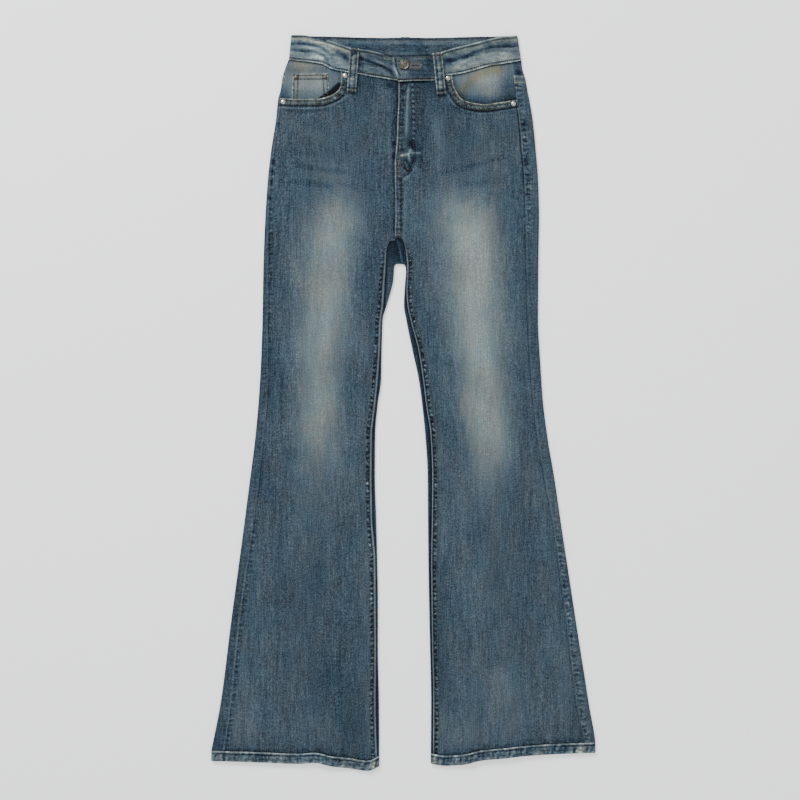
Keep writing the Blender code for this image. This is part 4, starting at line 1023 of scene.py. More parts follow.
def dress_yoke(side):
    """A back yoke, of which the corner at the side seam shows on top, with its felled seam."""
    grid = yoke_grid(side, 20, np.linspace(160, 4, 46))
    x, y, _ = np.moveaxis(grid, -1, 0)
    on_top, above = np.arange(grid.shape[1]) < STRIP + TURNS, y - y[-1:]
    sewn = 1 - ease((above - 10.5) / 1.5)
    relief, marks = drawn(x, y, SIDE_MARKS)
    seam = bells(above, (0.22, 11, 1.2), (-0.16, 13.5, 1.0), (0.20, 0.8, 1.0), (-0.08, 6, 3))
    edges = 0.24 * bump(x - x[:, :1], 1.2) - 0.2 * bump(y - y[:1], 2.5)
    tone = on_top * (0.10 * sewn - 0.02 + marks + seam + edges)
    grid[..., 2] += on_top * (0.35 * sewn - 0.3 * bump(above, 1.2) + relief)
    tones = dict(tone=tone + 0.03 * uneven(y, 6.0, 8), tint=0.3 * on_top * sewn)
    return cloth(f"cloth_yoke_{side}", grid, CLOTH, tones)


backs = {side: dress_back(side) for side in SIGN}
yokes = {side: dress_yoke(side) for side in SIGN}
report(backs)

# %% [markdown]
# The waistband is one strip: the left front, round the back and the right front.  Worn jeans
# crease it lengthwise over the hips, and those creases are long and sharp at one end.  They are
# dug into the grid as narrow troughs and darkened with painted shade, with painted highlights on
# the ridges beside them, and the cloth between them is rubbed pale.

# %% Creases, painted shade and soft spots of the waistband
# Most dark lines are painted shade, in the creases and beside the right belt loop, and most pale
# ones are painted highlights on the ridges beside the creases.
BAND_CREASES_AND_SHADE = [
    
    ([(-167, 528.5), (-147.5, 528.5), (-131.5, 526), (-121, 523), (-111.5, 515.5)],
     2.4, -0.28, -0.5),
    ([(-99, 517.5), (-91.5, 513.5), (-82, 507.5)], 3.6, -0.34, -0.6),
    ([(-94, 524), (-84, 516), (-80, 505)], 6, -0.12, 0),
    ([(-167, 520.5), (-147.5, 518), (-133, 517), (-122.5, 514.5), (-113.5, 507), (-110, 500.5)],
     2.2, -0.22, -0.4),
    ([(-150, 524), (-128, 521), (-108, 511)], 2.4, 0.08, 0.2),
    ([(-140, 507), (-127, 508), (-116, 504)], 4, 0.16, 0.2),
    ([(-115, 532.5), (-99, 528.5), (-82, 521)], 1.6, -0.14, -0.2),
    ([(-65, 508), (-49, 502), (-34, 496.5), (-22.5, 491.5), (-17, 486.5), (-15.5, 482)],
     2.4, -0.34, -0.7),
    ([(-47.5, 505), (-31, 499.5), (-19.5, 491.5)], 1.3, 0.22, 0.3),
    ([(-65, 517.5), (-62, 505.5), (-62, 491), (-65, 483.5)], 3.2, -0.14, -0.2),
    ([(60.5, 503.5), (72, 504.5), (87, 508), (106, 515.5), (126.5, 522), (147.5, 524.5),
      (168, 525.5)], 2.6, -0.30, -0.6),
    ([(85.5, 505), (98.5, 509.5), (115, 514), (138.5, 518), (168, 516.5)], 1.8, -0.18, -0.35),
    ([(95.5, 523), (121, 527), (149, 531.5)], 1.6, -0.14, -0.25),
    ([(63.5, 500.5), (72, 507.5)], 8, -0.2, 0), ([(34, 505.5), (44, 510)], 5, -0.14, 0),
    ([(66, 494), (90, 499), (120, 507)], 4, 0.03, 0),
    ([(-15, 508.5), (-13.5, 496.5), (-8, 480.5)], 1.2, 0.3, 0.2),
    ([(-11.5, 505.5), (-10.5, 496), (-4.5, 480.5)], 1.2, -0.25, -0.2),
    ([(-3, 485.5), (7, 483.5)], 4, 0.1, 0), ([(12, 497), (23, 496)], 5, -0.1, 0)]
# The spot at x = -67, beside the right belt loop, is painted shadow.
BAND_SPOTS = Table("x y half_width half_height tone", [
    (28, 484, 24, 11, -0.20), (20, 502, 34, 8, -0.12), (40, 499, 8, 8, -0.14),
    (-150, 523, 22, 10, -0.20), (-155, 509, 18, 6, -0.08), (-108, 504, 16, 9, -0.11),
    (-67, 498, 9, 16, -0.09), (-38, 508, 14, 6, -0.09), (-16, 500, 8, 8, -0.09),
    (150, 526, 22, 10, -0.23), (165, 512, 12, 9, -0.17), (110, 505, 14, 7, -0.16),
    (63, 519, 10, 6, -0.08), (-88, 517, 10, 5, 0.11), (75, 509, 8, 4, 0.08)]).rows()
BAND_ROWS = crowd(38, 0.07)
FRONT_STEPS, BACK_STEPS = 170, 150


# %% The front of the waistband


def band_front(side, count, raised):
    """The front waistband of one side: middle points from the side to its end, tone and tint.

    raised says how far something under it lifts it, by x.
    """
    table = BAND_EDGES[side]
    x = np.linspace(table.knots[0], table.knots[-1], count + 1)[:, None]
    v = BAND_ROWS[None, :]
    at_x = between(table.at("top_x", x), x, v)
    at_y = between(table.at("top_y", x), table.at("low_y", x), v)
    relief, shade = drawn(at_x, at_y, BAND_CREASES_AND_SHADE)
    tall = table.at("top_y", x) - table.at("low_y", x)
    from_top, from_low = v * tall, (1 - v) * tall
    rope = puckers(at_x, 5.0, 1.3, 60) * bump(from_low - 2, 1.6)
    height = band_height(at_x, at_y) + raised(at_x) + relief
    height = height + bells(from_low, (0.3, 1.5, 1.6), (-0.35, 4.2, 1.0))
    height = height + bells(from_top, (0.25, 1.2, 1.4), (-0.25, 3.6, 1.0))
    pale = (0.22 if side == "right" else 0.30) * ease((abs(at_x) - 52) / 62)
    if side == "left":
        pale = pale - 0.14 * (1 - ease((v - 0.35) / 0.3)) * ease((at_x - 62) / 30)
    lit_top = ease((at_x + 116) / 6) * (1 - ease((at_x + 34) / 10)) + ease((at_x - 34) / 10)
    wrinkle = uneven(from_top + 0.05 * abs(at_x) + uneven(at_x, 14.0, 64), 2.8, 63)
    wrinkle = wrinkle * ease((abs(at_x) - 24) / 40) * uneven(at_x + at_y, 11.0, 65)
    height = height + 0.15 * wrinkle
    tone = pale + shade + 0.05 * uneven(at_x + 0.5 * at_y, 9.0, 61) + 0.16 * wrinkle + 0.045
    tone = tone + bells(from_low, (0.40 - 0.8 * pale, 0.4, 1.1), (-0.42, 2.3, 0.9))
    tone = tone + bells(
        from_top, ((0.26 - 0.3 * pale) * lit_top, 0.5, 1.1), (-0.30 * lit_top, 2.6, 1.1),
        ((-0.30 - pale) * (1 - lit_top), 0.3, 1.5), (0.05, 5.5, 1.2))
    grid = stack((at_x, at_y, height))
    tint = 0.03 + 0.4 * bump(from_top - 5, 3) + 0.4 * bump(from_low - 3, 2.4) * (pale < 0.02)
    return grid, tone - 0.06 * rope + spots(at_x, at_y, BAND_SPOTS), tint


# %% The whole waistband


def dress_band():
    """The whole waistband, as one strip: left front, side turn, back, side turn, right front."""
    v = BAND_ROWS[None, :]
    left, left_tone, left_tint = band_front("left", FRONT_STEPS, overlap_lift)
    right, right_tone, right_tint = band_front("right", FRONT_STEPS, np.zeros_like)

    def side_turn(edge, sign):
        x, y, high = edge.T[:, None]
        return stack(half_turn(x, y, sign, 0, high, BAND / 2 + lift(x, y), BAND_RADIUS, TURN.T))

    ends, share = (left[-1], right[0]), shares(BACK_STEPS)[:, None]
    x, y = (between(ends[0][:, k], ends[1][:, k], share) for k in (0, 1))
    top, low = y[:, :1] - BACK_DIP * back_dip(x[:, :1]), back_edge(x[:, -1:], y[:, -1:])
    y, from_top, from_low = between(top, low, v), v * (top - low), (1 - v) * (top - low)
    height = BAND / 2 + lift(x, y) + bells(from_top, (0.3, 1.2, 1.5), (-0.3, 4, 1.0))
    back = stack((x, y, height))
    back_tone = 0.02 + 0.05 * uneven(x + 0.6 * y, 9.0, 62) + 0.06 * bump(from_low, 1.5)
    # Down the inside of the back band: a dark line at its top, a pale line of stitches and, lower,
    # painted shadow from the front band.
    back_tone = back_tone + bells(from_top, (-0.30, 0.6, 2.2), (0.10, 4.0, 0.8), (-0.06, 22, 8))
    grid = np.concatenate([left, side_turn(ends[0], 1), back, side_turn(ends[1], -1)[::-1], right])
    blank = np.zeros((TURNS - 1, len(BAND_ROWS)))
    tone = np.concatenate([left_tone, blank + left_tone[-1:], back_tone, blank + right_tone[:1],
                           right_tone])
    tint = np.concatenate([left_tint, blank, 0 * back_tone, blank, right_tint])
    tones = dict(tone=tone, tint=tint, pucker=0.22 + 0.3 * bump(1 - v, 0.12))
    shade = 0.14 * bump(grid[..., 1] - 523, 6) * ease((100 - abs(grid[..., 0])) / 20)
    within = (0.075 - shade) * (np.arange(len(grid)) > len(left))[:, None]
    return cloth("cloth_waistband", grid, BAND, tones, inside_tone=within)


band_piece, band_surface = dress_band()
band_left, band_right = band_surface[:FRONT_STEPS + 1], band_surface[-FRONT_STEPS - 1:]
band_back = band_surface[len(band_left) + TURNS:-len(band_right) - TURNS]
report(dict(band=[band_piece]))

# %% [markdown]
# A hem is a closed tube, turned twice and sewn.  It twists a little as it shrinks, which gives
# the slanted, roped ridges of old jeans.  Slanted valleys along the band, and a raised pale line
# where the stitches hold the turned edge, are what the eye reads as roping.

# %% The hems
HEM_MARKS = [
    ([(-274, -515), (-274, -528)], 7, 0.10, 0.2),
    ([(-263.5, -512), (-264.5, -530)], 1.6, -0.30, -0.4),
    ([(-43, -527), (-43.5, -540)], 4.6, 0.26, 0.3), ([(-31, -520), (-31, -534)], 2.6, -0.26, -0.3),
    ([(262, -508), (262, -523)], 5.5, 0.20, 0.3), ([(252, -506), (252, -522)], 1.6, -0.25, -0.4),
    ([(46, -518), (46, -532)], 4, 0.12, 0.2), ([(40, -518), (40, -532)], 2.4, -0.15, -0.3)]


def dress_hem(side):
    """A closed band round the leg, point for point with the panels above it."""
    back, front = backs[side][1], fronts[side][1]
    top = np.concatenate([back[-1], front[-1, -2:0:-1]])
    top[:, 2] = np.concatenate([back[-4, :, 2], front[-8, -2:0:-1, 2]])
    middle = (top[:, 0].max() + top[:, 0].min()) / 2
    half = top[:, 0].max() - middle
    extra = (HEM_CLOTH - CLOTH) / 2
    x = middle + (top[:, 0] - middle) * (half - extra) / half
    down = between(1.2 * GAP, HEM_HEIGHT, crowd(14, 0.05))[:, None]
    x, y, z = np.broadcast_arrays(x[None], top[None, :, 1] - down, top[None, :, 2] + extra)
    upper = ease((z - 1.6) / 0.8)
    seed = dict(right=70, left=80)[side]
    rope = puckers(x + 0.3 * down, 8.0, 1.9, seed) * bump(down - 8, 6.0)
    fine = uneven(x + 0.5 * down, 4.0, seed + 1)
    z = z + upper * (bells(down, (0.35, 2.2, 1.3), (-0.35, 4.6, 1.0)) - 0.6 * rope + 0.1 * fine)
    tone = 0.14 - 0.30 * rope + 0.10 * fine + bells(
        down, (0.22, 1.0, 1.1), (-0.28, 3.2, 1.0), (0.04 + 0.12 * fine, HEM_HEIGHT, 2.4))
    relief, marks = drawn(x, y, HEM_MARKS)
    grid = stack((x, y, z + upper * relief))
    tones = dict(tone=(tone + marks) * upper + 0.02 * (1 - upper), pucker=0.45 * upper,
                 tint=upper * 2.0 * np.clip(marks, 0, 0.3))
    return cloth(f"cloth_hem_{side}", grid, HEM_CLOTH, tones, closed=True)


hems = {side: dress_hem(side) for side in SIGN}
report(hems)

# %% [markdown]
# Behind each pocket mouth lies a bearer of the same denim, so that the lining never shows.  It is
# pale from hands going in and out.  The right one carries the coin pocket.  Where the mouth
# gapes, the cloth behind it is in deep shade.

# %% The grid of a pocket bearer


def bearer_grid(side, columns, rows):
    """Middle points of a bearer: from the waistband to a line that runs on behind the mouth."""
    sign = SIGN[side]
    mouth = np.stack(trace(MOUTH[side], shares(41)), axis=1)
    along = unit(np.gradient(mouth, axis=0))
    beyond = mouth + POCKET_REACH * sign * np.stack([along[:, 1], -along[:, 0]], axis=1)
    split, inner_x = 12, dict(right=-71, left=54)[side]
    beyond[0] = inner_x, waist_y(side, inner_x)
    low_y = waist_y(side, SIDE[side].at("seam", 503)) - 2 * GAP
    near_y = np.linspace(low_y, beyond[-1, 1], rows + 1)
    near = np.stack([SIDE[side].at("seam", near_y) - sign * GAP / 2, near_y], axis=1)
    top_x = np.linspace(near[0, 0], inner_x, columns + 1)
    top = np.stack([top_x, waist_y(side, top_x) - 2 * GAP], axis=1)
    far = np.stack(trace(beyond[:split + 1], shares(rows + 1)), axis=1)
    low = np.stack(trace(beyond[split:], np.linspace(1, 0, columns + 1)), axis=1)
    far[0], low[0], low[-1] = top[-1], near[-1], far[-1]
    return sheet_between(top, low, near, far, shares(columns + 1), shares(rows + 1))


# %% The dressed bearers
BEARER_FOLD = [(84, 455), (97, 471), (114, 483.5), (138, 491)]
SHADE_LINE = [(-123.5, 447.5), (-111, 453.2), (-101.5, 460.2), (-94.5, 467.5)]


def dress_bearer(side):
    """A pocket bearer: pale, shaded along the mouth, and on the left with a soft pale fold."""
    x, y = np.moveaxis(bearer_grid(side, 56, 44), -1, 0)
    from_mouth = from_curve(x, y, MOUTH[side], 300)[0]
    from_waist = waist_y(side, x) - y
    height = top_height(x, y) - 0.3 * bump(from_waist - 1, 2.0)
    # Painted shadow along the mouth's edge and under the waistband.
    tone = -0.12 * bump(from_mouth - 1, 3.4) - 0.10 * bump(from_waist - 1, 1.6)
    tone = tone + 0.04 * uneven(x + 0.4 * y, 12.0, 90)
    if side == "left":
        near = bump(from_curve(x, y, BEARER_FOLD)[0], 8.5)
        height, tint = height + 0.9 * near, 0.85 * near
        tone = tone + 0.11 - 0.07 * near + 0.20 * bump(np.hypot((x - 114) / 1.7, y - 473), 18)
        # Painted shadow below the mouth's edge, on the lower part of the left bearer.
        tone = tone - 0.16 * bump(from_mouth - 4, 9) * (1 - ease((y - 448) / 18))
        tone = tone + 0.12 * bump(np.hypot(x - 150, y - 492), 14) - 0.05 * bump(y - 466, 8)
        tone = tone + 0.10 * bump(np.hypot(x - 130, y - 491), 14) - 0.09 * ease((x - 138) / 14)
    else:
        tone = tone + 0.21 - 0.08 * bump(y - 490, 5) - 0.66 * gape_shade(x, y)
        tone = tone - 0.22 * bump(np.hypot(x + 178, y - 453), 11)
        tone = tone - 0.07 * bump(x + 176, 10) - 0.06 * bump(x + 100, 8)
        tint = 0.6 * bump(np.hypot(x + 150, (y - 494) * 2), 22)
    return cloth(f"cloth_pocket_bearer_{side}", stack((x, y, height)), CLOTH,
                 dict(tone=tone, tint=tint))[0]


def gape_shade(x, y):
    """How deep a place lies in the shade of the gaping mouth."""
    away, along, _ = from_curve(x, y, SHADE_LINE)
    return np.clip(1.7 * bump(away, 0.9 + 2.3 * np.sin(np.pi * np.clip(along / 50, 0, 1))), 0, 1)


# %% The coin pocket
COIN_INSETS, COIN_ROWS, COIN_COLUMNS = (1.6, 7.4), crowd(36), crowd(44)


def dress_coin_pocket():
    """The coin pocket: two rows of grooves at its sides and top, and the shade of the mouth."""
    u, v = COIN_COLUMNS[None, :], COIN_ROWS[:, None]
    x = between(COIN_LEFT + 1.5 * (1 - v), COIN_RIGHT - 3.0 * (1 - v), u)
    y = between(COIN_TOP, COIN_FOOT, v) + 0 * u
    from_edge = np.minimum(x - x[:, :1], x[:, -1:] - x)
    from_top = COIN_TOP - y
    edge, groove = 0.0, 0.0
    for away in (from_edge, from_top):
        edge = edge + bump(away, 1.4)
        groove = groove + bells(away, *((1, inset, 0.9) for inset in COIN_INSETS))
    sewn = np.minimum(abs(from_edge - 5), abs(from_top - 5))
    valley = puckers(x + y, 6.0, 1.5, 95) * bump(sewn, 3)
    height = top_height(x, y) + LAYER - 0.15 * groove - 0.3 * valley
    tone = 0.13 + 0.14 * edge - 0.30 * groove - 0.10 * valley - 0.70 * gape_shade(x, y)
    tone = tone + 0.14 * ease((y - 454) / 14) - 0.06 * (1 - ease((y - 446) / 10))
    return cloth("cloth_coin_pocket", stack((x, y, height)), CLOTH,
                 dict(tone=tone, tint=0.35 * bump(sewn, 4), pucker=0.7 * edge + 0.4 * groove))


bearers = {side: dress_bearer(side) for side in SIGN}
coin_pocket, coin_surface = dress_coin_pocket()
print("bearers and coin pocket:", sum(len(p.data.polygons) for p in bearers.values()), "faces")

# %% [markdown]
# A belt loop is a strip folded in three, so its two edges are thick and its middle is a shallow
# channel.  The edges and the folded ends rub pale.  The front ones lie on the waistband and bow
# up from it a little; the back ones are pressed flat underneath, like the back pockets.

# %% Belt loops


def loop_tones(u, v, seed):
    """A loop's tones across, by u from -1 to 1, and down, by v: pale edges, dark at the tacks."""
    edge = bump(1 - abs(u), 0.17)
    rough = uneven(v * 60 + 3 * u, 5.0, seed)
    ends = bells(v, (1, 0.055, 0.02), (1, 0.90, 0.02), (1, 0.985, 0.02))
    knots = bells(v, (1, 0.80, 0.035), (1, 0.70, 0.03), (1, 0.945, 0.02))
    tone = 0.32 * edge - 0.24 * bump(abs(u) - 0.58, 0.15) + 0.10 * bump(u + 0.1, 0.3)
    tone = tone + (0.13 * rough + 0.18 * knots) * (1 - edge) - 0.34 * ends
    return tone + 0.16 * bump(v, 0.03), 0.12 + 0.2 * rough


def front_loop(side):
    """A front belt loop: it bows up from whatever is under it.

    It lies on the highest of the places near each step, evened out over seven steps.
    """
    (top_x, top_y), (foot_x, foot_y) = FRONT_LOOPS[side]
    v, across = shares(61)[:, None], np.linspace(-1, 1, 15)[None, :]
    u = across * LOOP_WIDTH / 2
    length = np.hypot(foot_x - top_x, foot_y - top_y)
    x = between(top_x, foot_x, v) + u * (top_y - foot_y) / length
    y = between(top_y, foot_y, v) + u * (foot_x - top_x) / length
    raised = overlap_lift(x) if side == "left" else 0.0
    on_band = band_height(x, y) + raised + BAND / 2
    on_front = front_height(side, x, y) + CLOTH / 2 + 0.5
    over = y > waist_y(side, x) - 4
    carried = np.where(over, np.maximum(on_band, on_front), on_front).max(axis=1)
    padded = np.pad(carried, 4, mode="edge")
    carried = np.max([padded[k:k + len(carried)] for k in range(9)], axis=0)
    carried = np.convolve(np.pad(carried, 3, mode="edge"), np.ones(7) / 7, mode="valid")[:, None]
    z = carried + GAP + LOOP_CLOTH / 2 + LOOP_BOW * np.sin(np.pi * v)
    z = z + 0.2 * bump(abs(across) - 0.82, 0.2) - 0.2 * bump(v - 0.04, 0.03)
    tone, tint = loop_tones(across, v, 100 if side == "right" else 101)
    return cloth(f"cloth_belt_loop_front_{side}", stack((x, y, z)), LOOP_CLOTH,
                 dict(tone=tone - 0.015, tint=tint, pucker=0.4))


def back_loop(place):
    """A back belt loop, pressed flat; its outside faces the surface."""
    v, across = shares(41)[:, None], np.linspace(-1, 1, 11)[None, :]
    x = BACK_LOOP_PLACES[place] + LOOP_WIDTH / 2 * across
    y = between(BACK_LOOP_TOP, BACK_LOOP_FOOT, v)
    tone, tint = loop_tones(across, v, 102)
    return cloth(f"cloth_belt_loop_back_{place}", stack((x, y, LOOP_CLOTH / 2)), LOOP_CLOTH,
                 dict(tone=tone, tint=tint, pucker=0.4), start_up=False)[0]


# %% Back pockets


def back_pocket(side):
    """A plain patch pocket with a pointed foot; its outside faces the surface."""
    u, v = np.linspace(-1, 1, 57)[None, :], shares(61)[:, None]
    x = SIGN[side] * BACK_POCKET_X + u * BACK_POCKET_WIDTH / 2 * (1 - 0.1 * v)
    y = BACK_POCKET_TOP - v * (BACK_POCKET_HEIGHT - 12 * abs(u))
    away = np.minimum(1 - abs(u), np.minimum(v, 1 - v) * 2.2) * 60
    tone = 0.05 + bells(away, (0.14, 0, 2), (-0.10, 7, 1.6))
    return cloth(f"cloth_back_pocket_{side}", stack((x, y, CLOTH / 2)), CLOTH,
                 dict(tone=tone, tint=0.1), start_up=False)[0]


front_loops = {side: front_loop(side) for side in SIGN}
back_loops = {place: back_loop(place) for place in BACK_LOOP_PLACES}
back_pockets = {side: back_pocket(side) for side in SIGN}
print(len(front_loops) + len(back_loops), "belt loops")

# %% [markdown]
# Stitches.  A lockstitch shows as a row of short raised threads, each sinking into the cloth at
# both ends.  One stitch is a small tapered tube of five rings.  A whole row is made at once: the
# row's line is cut into equal steps, and every step gets a turned copy of the same tube.

# %% Lines on the cloth


def contour(surface, distance, value, axis, back=False):
    """The line on a surface where a distance reaches a value, walking in along one axis."""
    near = np.moveaxis(distance, axis, 0)
    points = np.moveaxis(surface, axis, 0)
    if back:
        near, points = near[::-1], points[::-1]
    k = np.clip(np.argmax(near >= value, axis=0), 1, None)
    lane = np.arange(near.shape[1])
    before, after = near[k - 1, lane], near[k, lane]
    t = np.clip((value - before) / np.maximum(after - before, 1e-9), 0, 1)[:, None]
    return between(points[k - 1, lane], points[k, lane], t)


def resample(line, pitch):
    """Points every pitch along a line, and the direction at each."""
    reach = np.concatenate([[0], np.cumsum(np.linalg.norm(np.diff(line, axis=0), axis=1))])
    count = max(int(reach[-1] / pitch), 2)
    at = (np.arange(count) + 0.5) / count * reach[-1]
    before, middle, after = (
        np.stack([np.interp(at + step * pitch, reach, axis) for axis in line.T], axis=1)
        for step in (-0.4, 0, 0.4))
    return middle, unit(after - before)


# %% Stitches
# Each ring's place along the stitch, its size and its rise: three rows of five.
RINGS = np.array([[-0.5, -0.36, 0.0, 0.36, 0.5], [0.25, 0.85, 1.0, 0.85, 0.25],
                  [-0.9, 0.1, 0.5, 0.1, -0.9]])
RING_TURN = np.linspace(0, 2 * np.pi, 7)[:-1]


def stitch_points(middle, along, up, length, radius):
    """Rings of points round each stitch: a tube that arches up and tapers at both ends."""
    side = unit(np.cross(along, up))
    place, along, up, side = (array[:, None, None] for array in (middle, along, up, side))
    ring_along, ring_size, ring_rise = RINGS[:, None, :, None, None]
    turn = RING_TURN[:, None]
    axis = place + along * ring_along * length + up * ring_rise * radius
    return axis + ring_size * radius * (side * np.cos(turn) + up * np.sin(turn))


def sew(name, rows, radius=0.42, shade=0.0):
    """One mesh of stitches from rows of (line, pitch, share of the pitch that a stitch fills).

    shade makes its thread darker, below 0, or paler, above 0.
    """
    parts = []
    for line, pitch, fill, up in rows:
        middle, along = resample(line[np.isfinite(line).all(axis=1)], pitch)
        parts.append(stitch_points(middle, along, 0 * middle + up, pitch * fill, radius))
    points = np.concatenate(parts)
    rings = points.shape[1:3]
    size = rings[0] * rings[1]
    tube = quads_of(rings, closed=True)
    quads = (tube[None] + size * np.arange(len(points))[:, None, None]).reshape(-1, 4)
    thread = np.repeat(np.random.default_rng(5).uniform(-1, 1, len(points)), size) + shade
    piece = mesh_from(name, points.reshape(-1, 3), quads, dict(tone=thread))
    return piece


def zigzag(middle, along, length, width, step=0.8):
    """A bar tack: a line that runs to and fro across its length."""
    count = int(length / step)
    t = np.linspace(-0.5, 0.5, count)[:, None]
    swing = np.where(np.arange(count) % 2, 0.5, -0.5)[:, None]
    along = np.array(along) / np.hypot(*along)
    across = np.array([-along[1], along[0]])
    return np.array(middle) + t * length * along + swing * width * across


# %% Where the stitches of the fronts run
UP, DOWN = np.array([0.0, 0.0, 1.0]), np.array([0.0, 0.0, -1.0])
MOUTH_STITCHES, INSEAM_STITCHES, BELOW_CROTCH = (3.0, 8.4), (1.4, 7.6), 222


def row(line, height=0.12, up=UP, pitch=3.3, fill=0.74):
    """A row to sew: its line, moved up by a height, its pitch, each stitch's share, its outside."""
    return line + UP * height, pitch, fill, up


def front_rows(side):
    """Stitch lines of one front: mouth, inseam, and on the left the fly."""
    _, _, surface, away = fronts[side]
    at_mouth = np.s_[:MOUTH_ROWS, :np.searchsorted(SHARE, SPLIT) - 1]
    on_leg = np.s_[np.searchsorted(-surface[:, -1, 1], -BELOW_CROTCH):]
    rows = [row(contour(surface[at_mouth], away["mouth"][at_mouth], value, 0))
            for value in MOUTH_STITCHES]
    rows += [row(contour(surface[on_leg], away["inner"][on_leg], value, 1, back=True))
             for value in INSEAM_STITCHES]
    if side == "left":
        rows += fly_rows(surface)
    return rows


def drape(surface, flat_line):
    """Lays a flat line on a surface: each point takes a mean height of the grid's points.

    A grid point counts for one over the third power of its distance plus 0.3.
    """
    points = surface.reshape(-1, 3)
    points = points[np.isfinite(points).all(axis=1)]
    low, high = flat_line.min(axis=0) - 4, flat_line.max(axis=0) + 4
    points = points[((points[:, :2] > low) & (points[:, :2] < high)).all(axis=1)]
    gap = np.hypot(flat_line[:, None, 0] - points[:, 0], flat_line[:, None, 1] - points[:, 1])
    weight = 1 / (gap + 0.3) ** 3
    height = (weight * points[:, 2]).sum(axis=1) / weight.sum(axis=1)
    return np.column_stack([flat_line, height])


# %% Where the stitches of the fly, the waistband and the hems run
HEM_STITCH_ROW, HEM_MIDDLE = 4, 2.2


def fly_rows(surface):
    """The fly's two curved lines, the line beside its edge and the felled rise below it."""

    def beside(high, low, count, offset, spread=0):
        """A line beside the rise seam, which may spread from it lower down."""
        y = np.linspace(high, low, count)
        return np.stack([RISE.at("x", y) + offset + spread * fly_spread(y), y], axis=1)

    lines = [beside(FLY_HIGH, end, 60, offset, 1)
             for offset, end in zip(FLY_STITCHES, FLY_ENDS)]
    curve = np.stack(trace([lines[0][-1], *FLY_CURVE], shares(30)), axis=1)
    lines[0] = np.concatenate([lines[0][:-1], curve])
    lines += [beside(high, 246, 120, offset) for offset, high in ((2.2, FLY_HIGH), (5.6, 344))]
    return [row(drape(surface, line), fill=0.72) for line in lines]


def band_rows():
    """The waistband's lines: three on each front, two outside the back and one inside it.

    The last stretch of the right front lies under the left one and isn't sewn.
    """
    rows = [row(part[:, column]) for part in (band_left, band_right[:-12])
            for column in (5, -6, -3)]
    rows += [row(band_back[:, column], 0.3, DOWN) for column in (5, -6)]
    x, y, _ = band_back[:, 6].T
    return rows + [row(np.column_stack([x, y, BAND + lift(x, y)]), 0.15)]


def hem_rows(side):
    """The hem's one line, all round the leg: one row on top and one underneath."""
    line = hems[side][1][HEM_STITCH_ROW]
    top = line[:, 2] > HEM_MIDDLE
    return [row(line[top], 0.1, fill=0.76), row(line[~top], 0.3, DOWN, fill=0.76)]


# %% Sewing the seams
mouth_and_leg = {side: sew(f"stitches_front_{side}", front_rows(side), shade=-0.5) for side in SIGN}
band_stitches = sew("stitches_waistband", band_rows(), shade=-0.2)
hem_stitches = {side: sew(f"stitches_hem_{side}", hem_rows(side), shade=0.4) for side in SIGN}

# %% Coin pocket, belt loops and underside


def coin_rows():
    """Down both sides of the coin pocket and along its top, at each inset."""
    rows, wide = [], COIN_RIGHT - COIN_LEFT - 1.5
    for inset in COIN_INSETS:
        for share in (inset / wide, 1 - inset / wide):
            rows.append(row(coin_surface[:, np.argmin(abs(COIN_COLUMNS - share))]))
        rows.append(row(coin_surface[np.argmin(abs(COIN_ROWS - inset / (COIN_TOP - COIN_FOOT)))]))
    return rows


def underside_rows():
    """Double lines under the garment: the yoke seams, the back pockets and the centre back."""
    lines = []
    for sign in SIGN.values():
        for inset in (2.0, 7.5):
            half, foot = BACK_POCKET_WIDTH / 2 - inset, BACK_POCKET_HEIGHT - inset
            corner = np.linspace(0, 4, 200)
            x = np.interp(corner, range(5), half * np.array([1, 0.9, 0, -0.9, -1]))
            y = np.interp(corner, range(5), [0, foot - 12, foot, foot - 12, 0])
            lines.append((sign * BACK_POCKET_X + x, BACK_POCKET_TOP - y, 0 * x))
        for inset in (2.5, 8.5):
            x = sign * np.linspace(8, 165, 120)
            y = np.interp(abs(x), [4, 197], [YOKE_BACK, YOKE_SIDE]) + inset
            lines.append((x, y, lift(x, y)))
    for inset in (2.5, 8.0):
        y = np.linspace(YOKE_BACK - 3, FORK + 3, 140)
        x = BACK_SEAM - inset + 0 * y
        lines.append((x, y, lift(x, y)))
    return [row(np.column_stack(line), 0.3, DOWN) for line in lines]


coin_stitches = sew("stitches_coin_pocket", coin_rows(), shade=-0.4)
loop_stitches = {side: sew(f"stitches_belt_loop_{side}",
                           [row(loop[3:-3, column]) for column in (2, -3)])
                 for side, (_, loop) in front_loops.items()}
sew("stitches_back", underside_rows(), shade=0.9)

# %% [markdown]
# Bar tacks and the buttonhole are the same thread, but crowded: the line runs to and fro with no
# space between.  They sit at the ends of each front belt loop, at the foot of the fly, at the
# crotch and round the buttonhole.

# %% Bar tacks and the buttonhole
# Each tack is its middle, the way it runs, its length and its width.
TACKS = [
    (front_loops["right"][1], [((-75.7, 459.0), (1, -0.1), 11, 3.0),
                               ((-71.8, 519.0), (1, -0.1), 11, 3.0)]),
    (front_loops["left"][1], [((50.8, 512.0), (1, 0.1), 11, 3.0),
                              ((56.2, 455.5), (1, 0.1), 11, 3.0)]),
    (fronts["left"][2], [((-6.5, 247.0), (1, 0.1), 8, 2.4), ((-5.0, 346.0), (0.03, 1), 20, 2.8),
                         ((5.0, 349.0), (-0.4, 1), 12, 3.0)])]
SLIT = dict(x=17.5, y=495.6, half_length=9.0, half_width=2.4)


def tack_rows():
    """A row for each bar tack, laid on the surface that it is sewn to."""
    return [row(drape(surface, zigzag(*tack)), 0.2, pitch=1.6, fill=1.25)
            for surface, tacks in TACKS for tack in tacks]


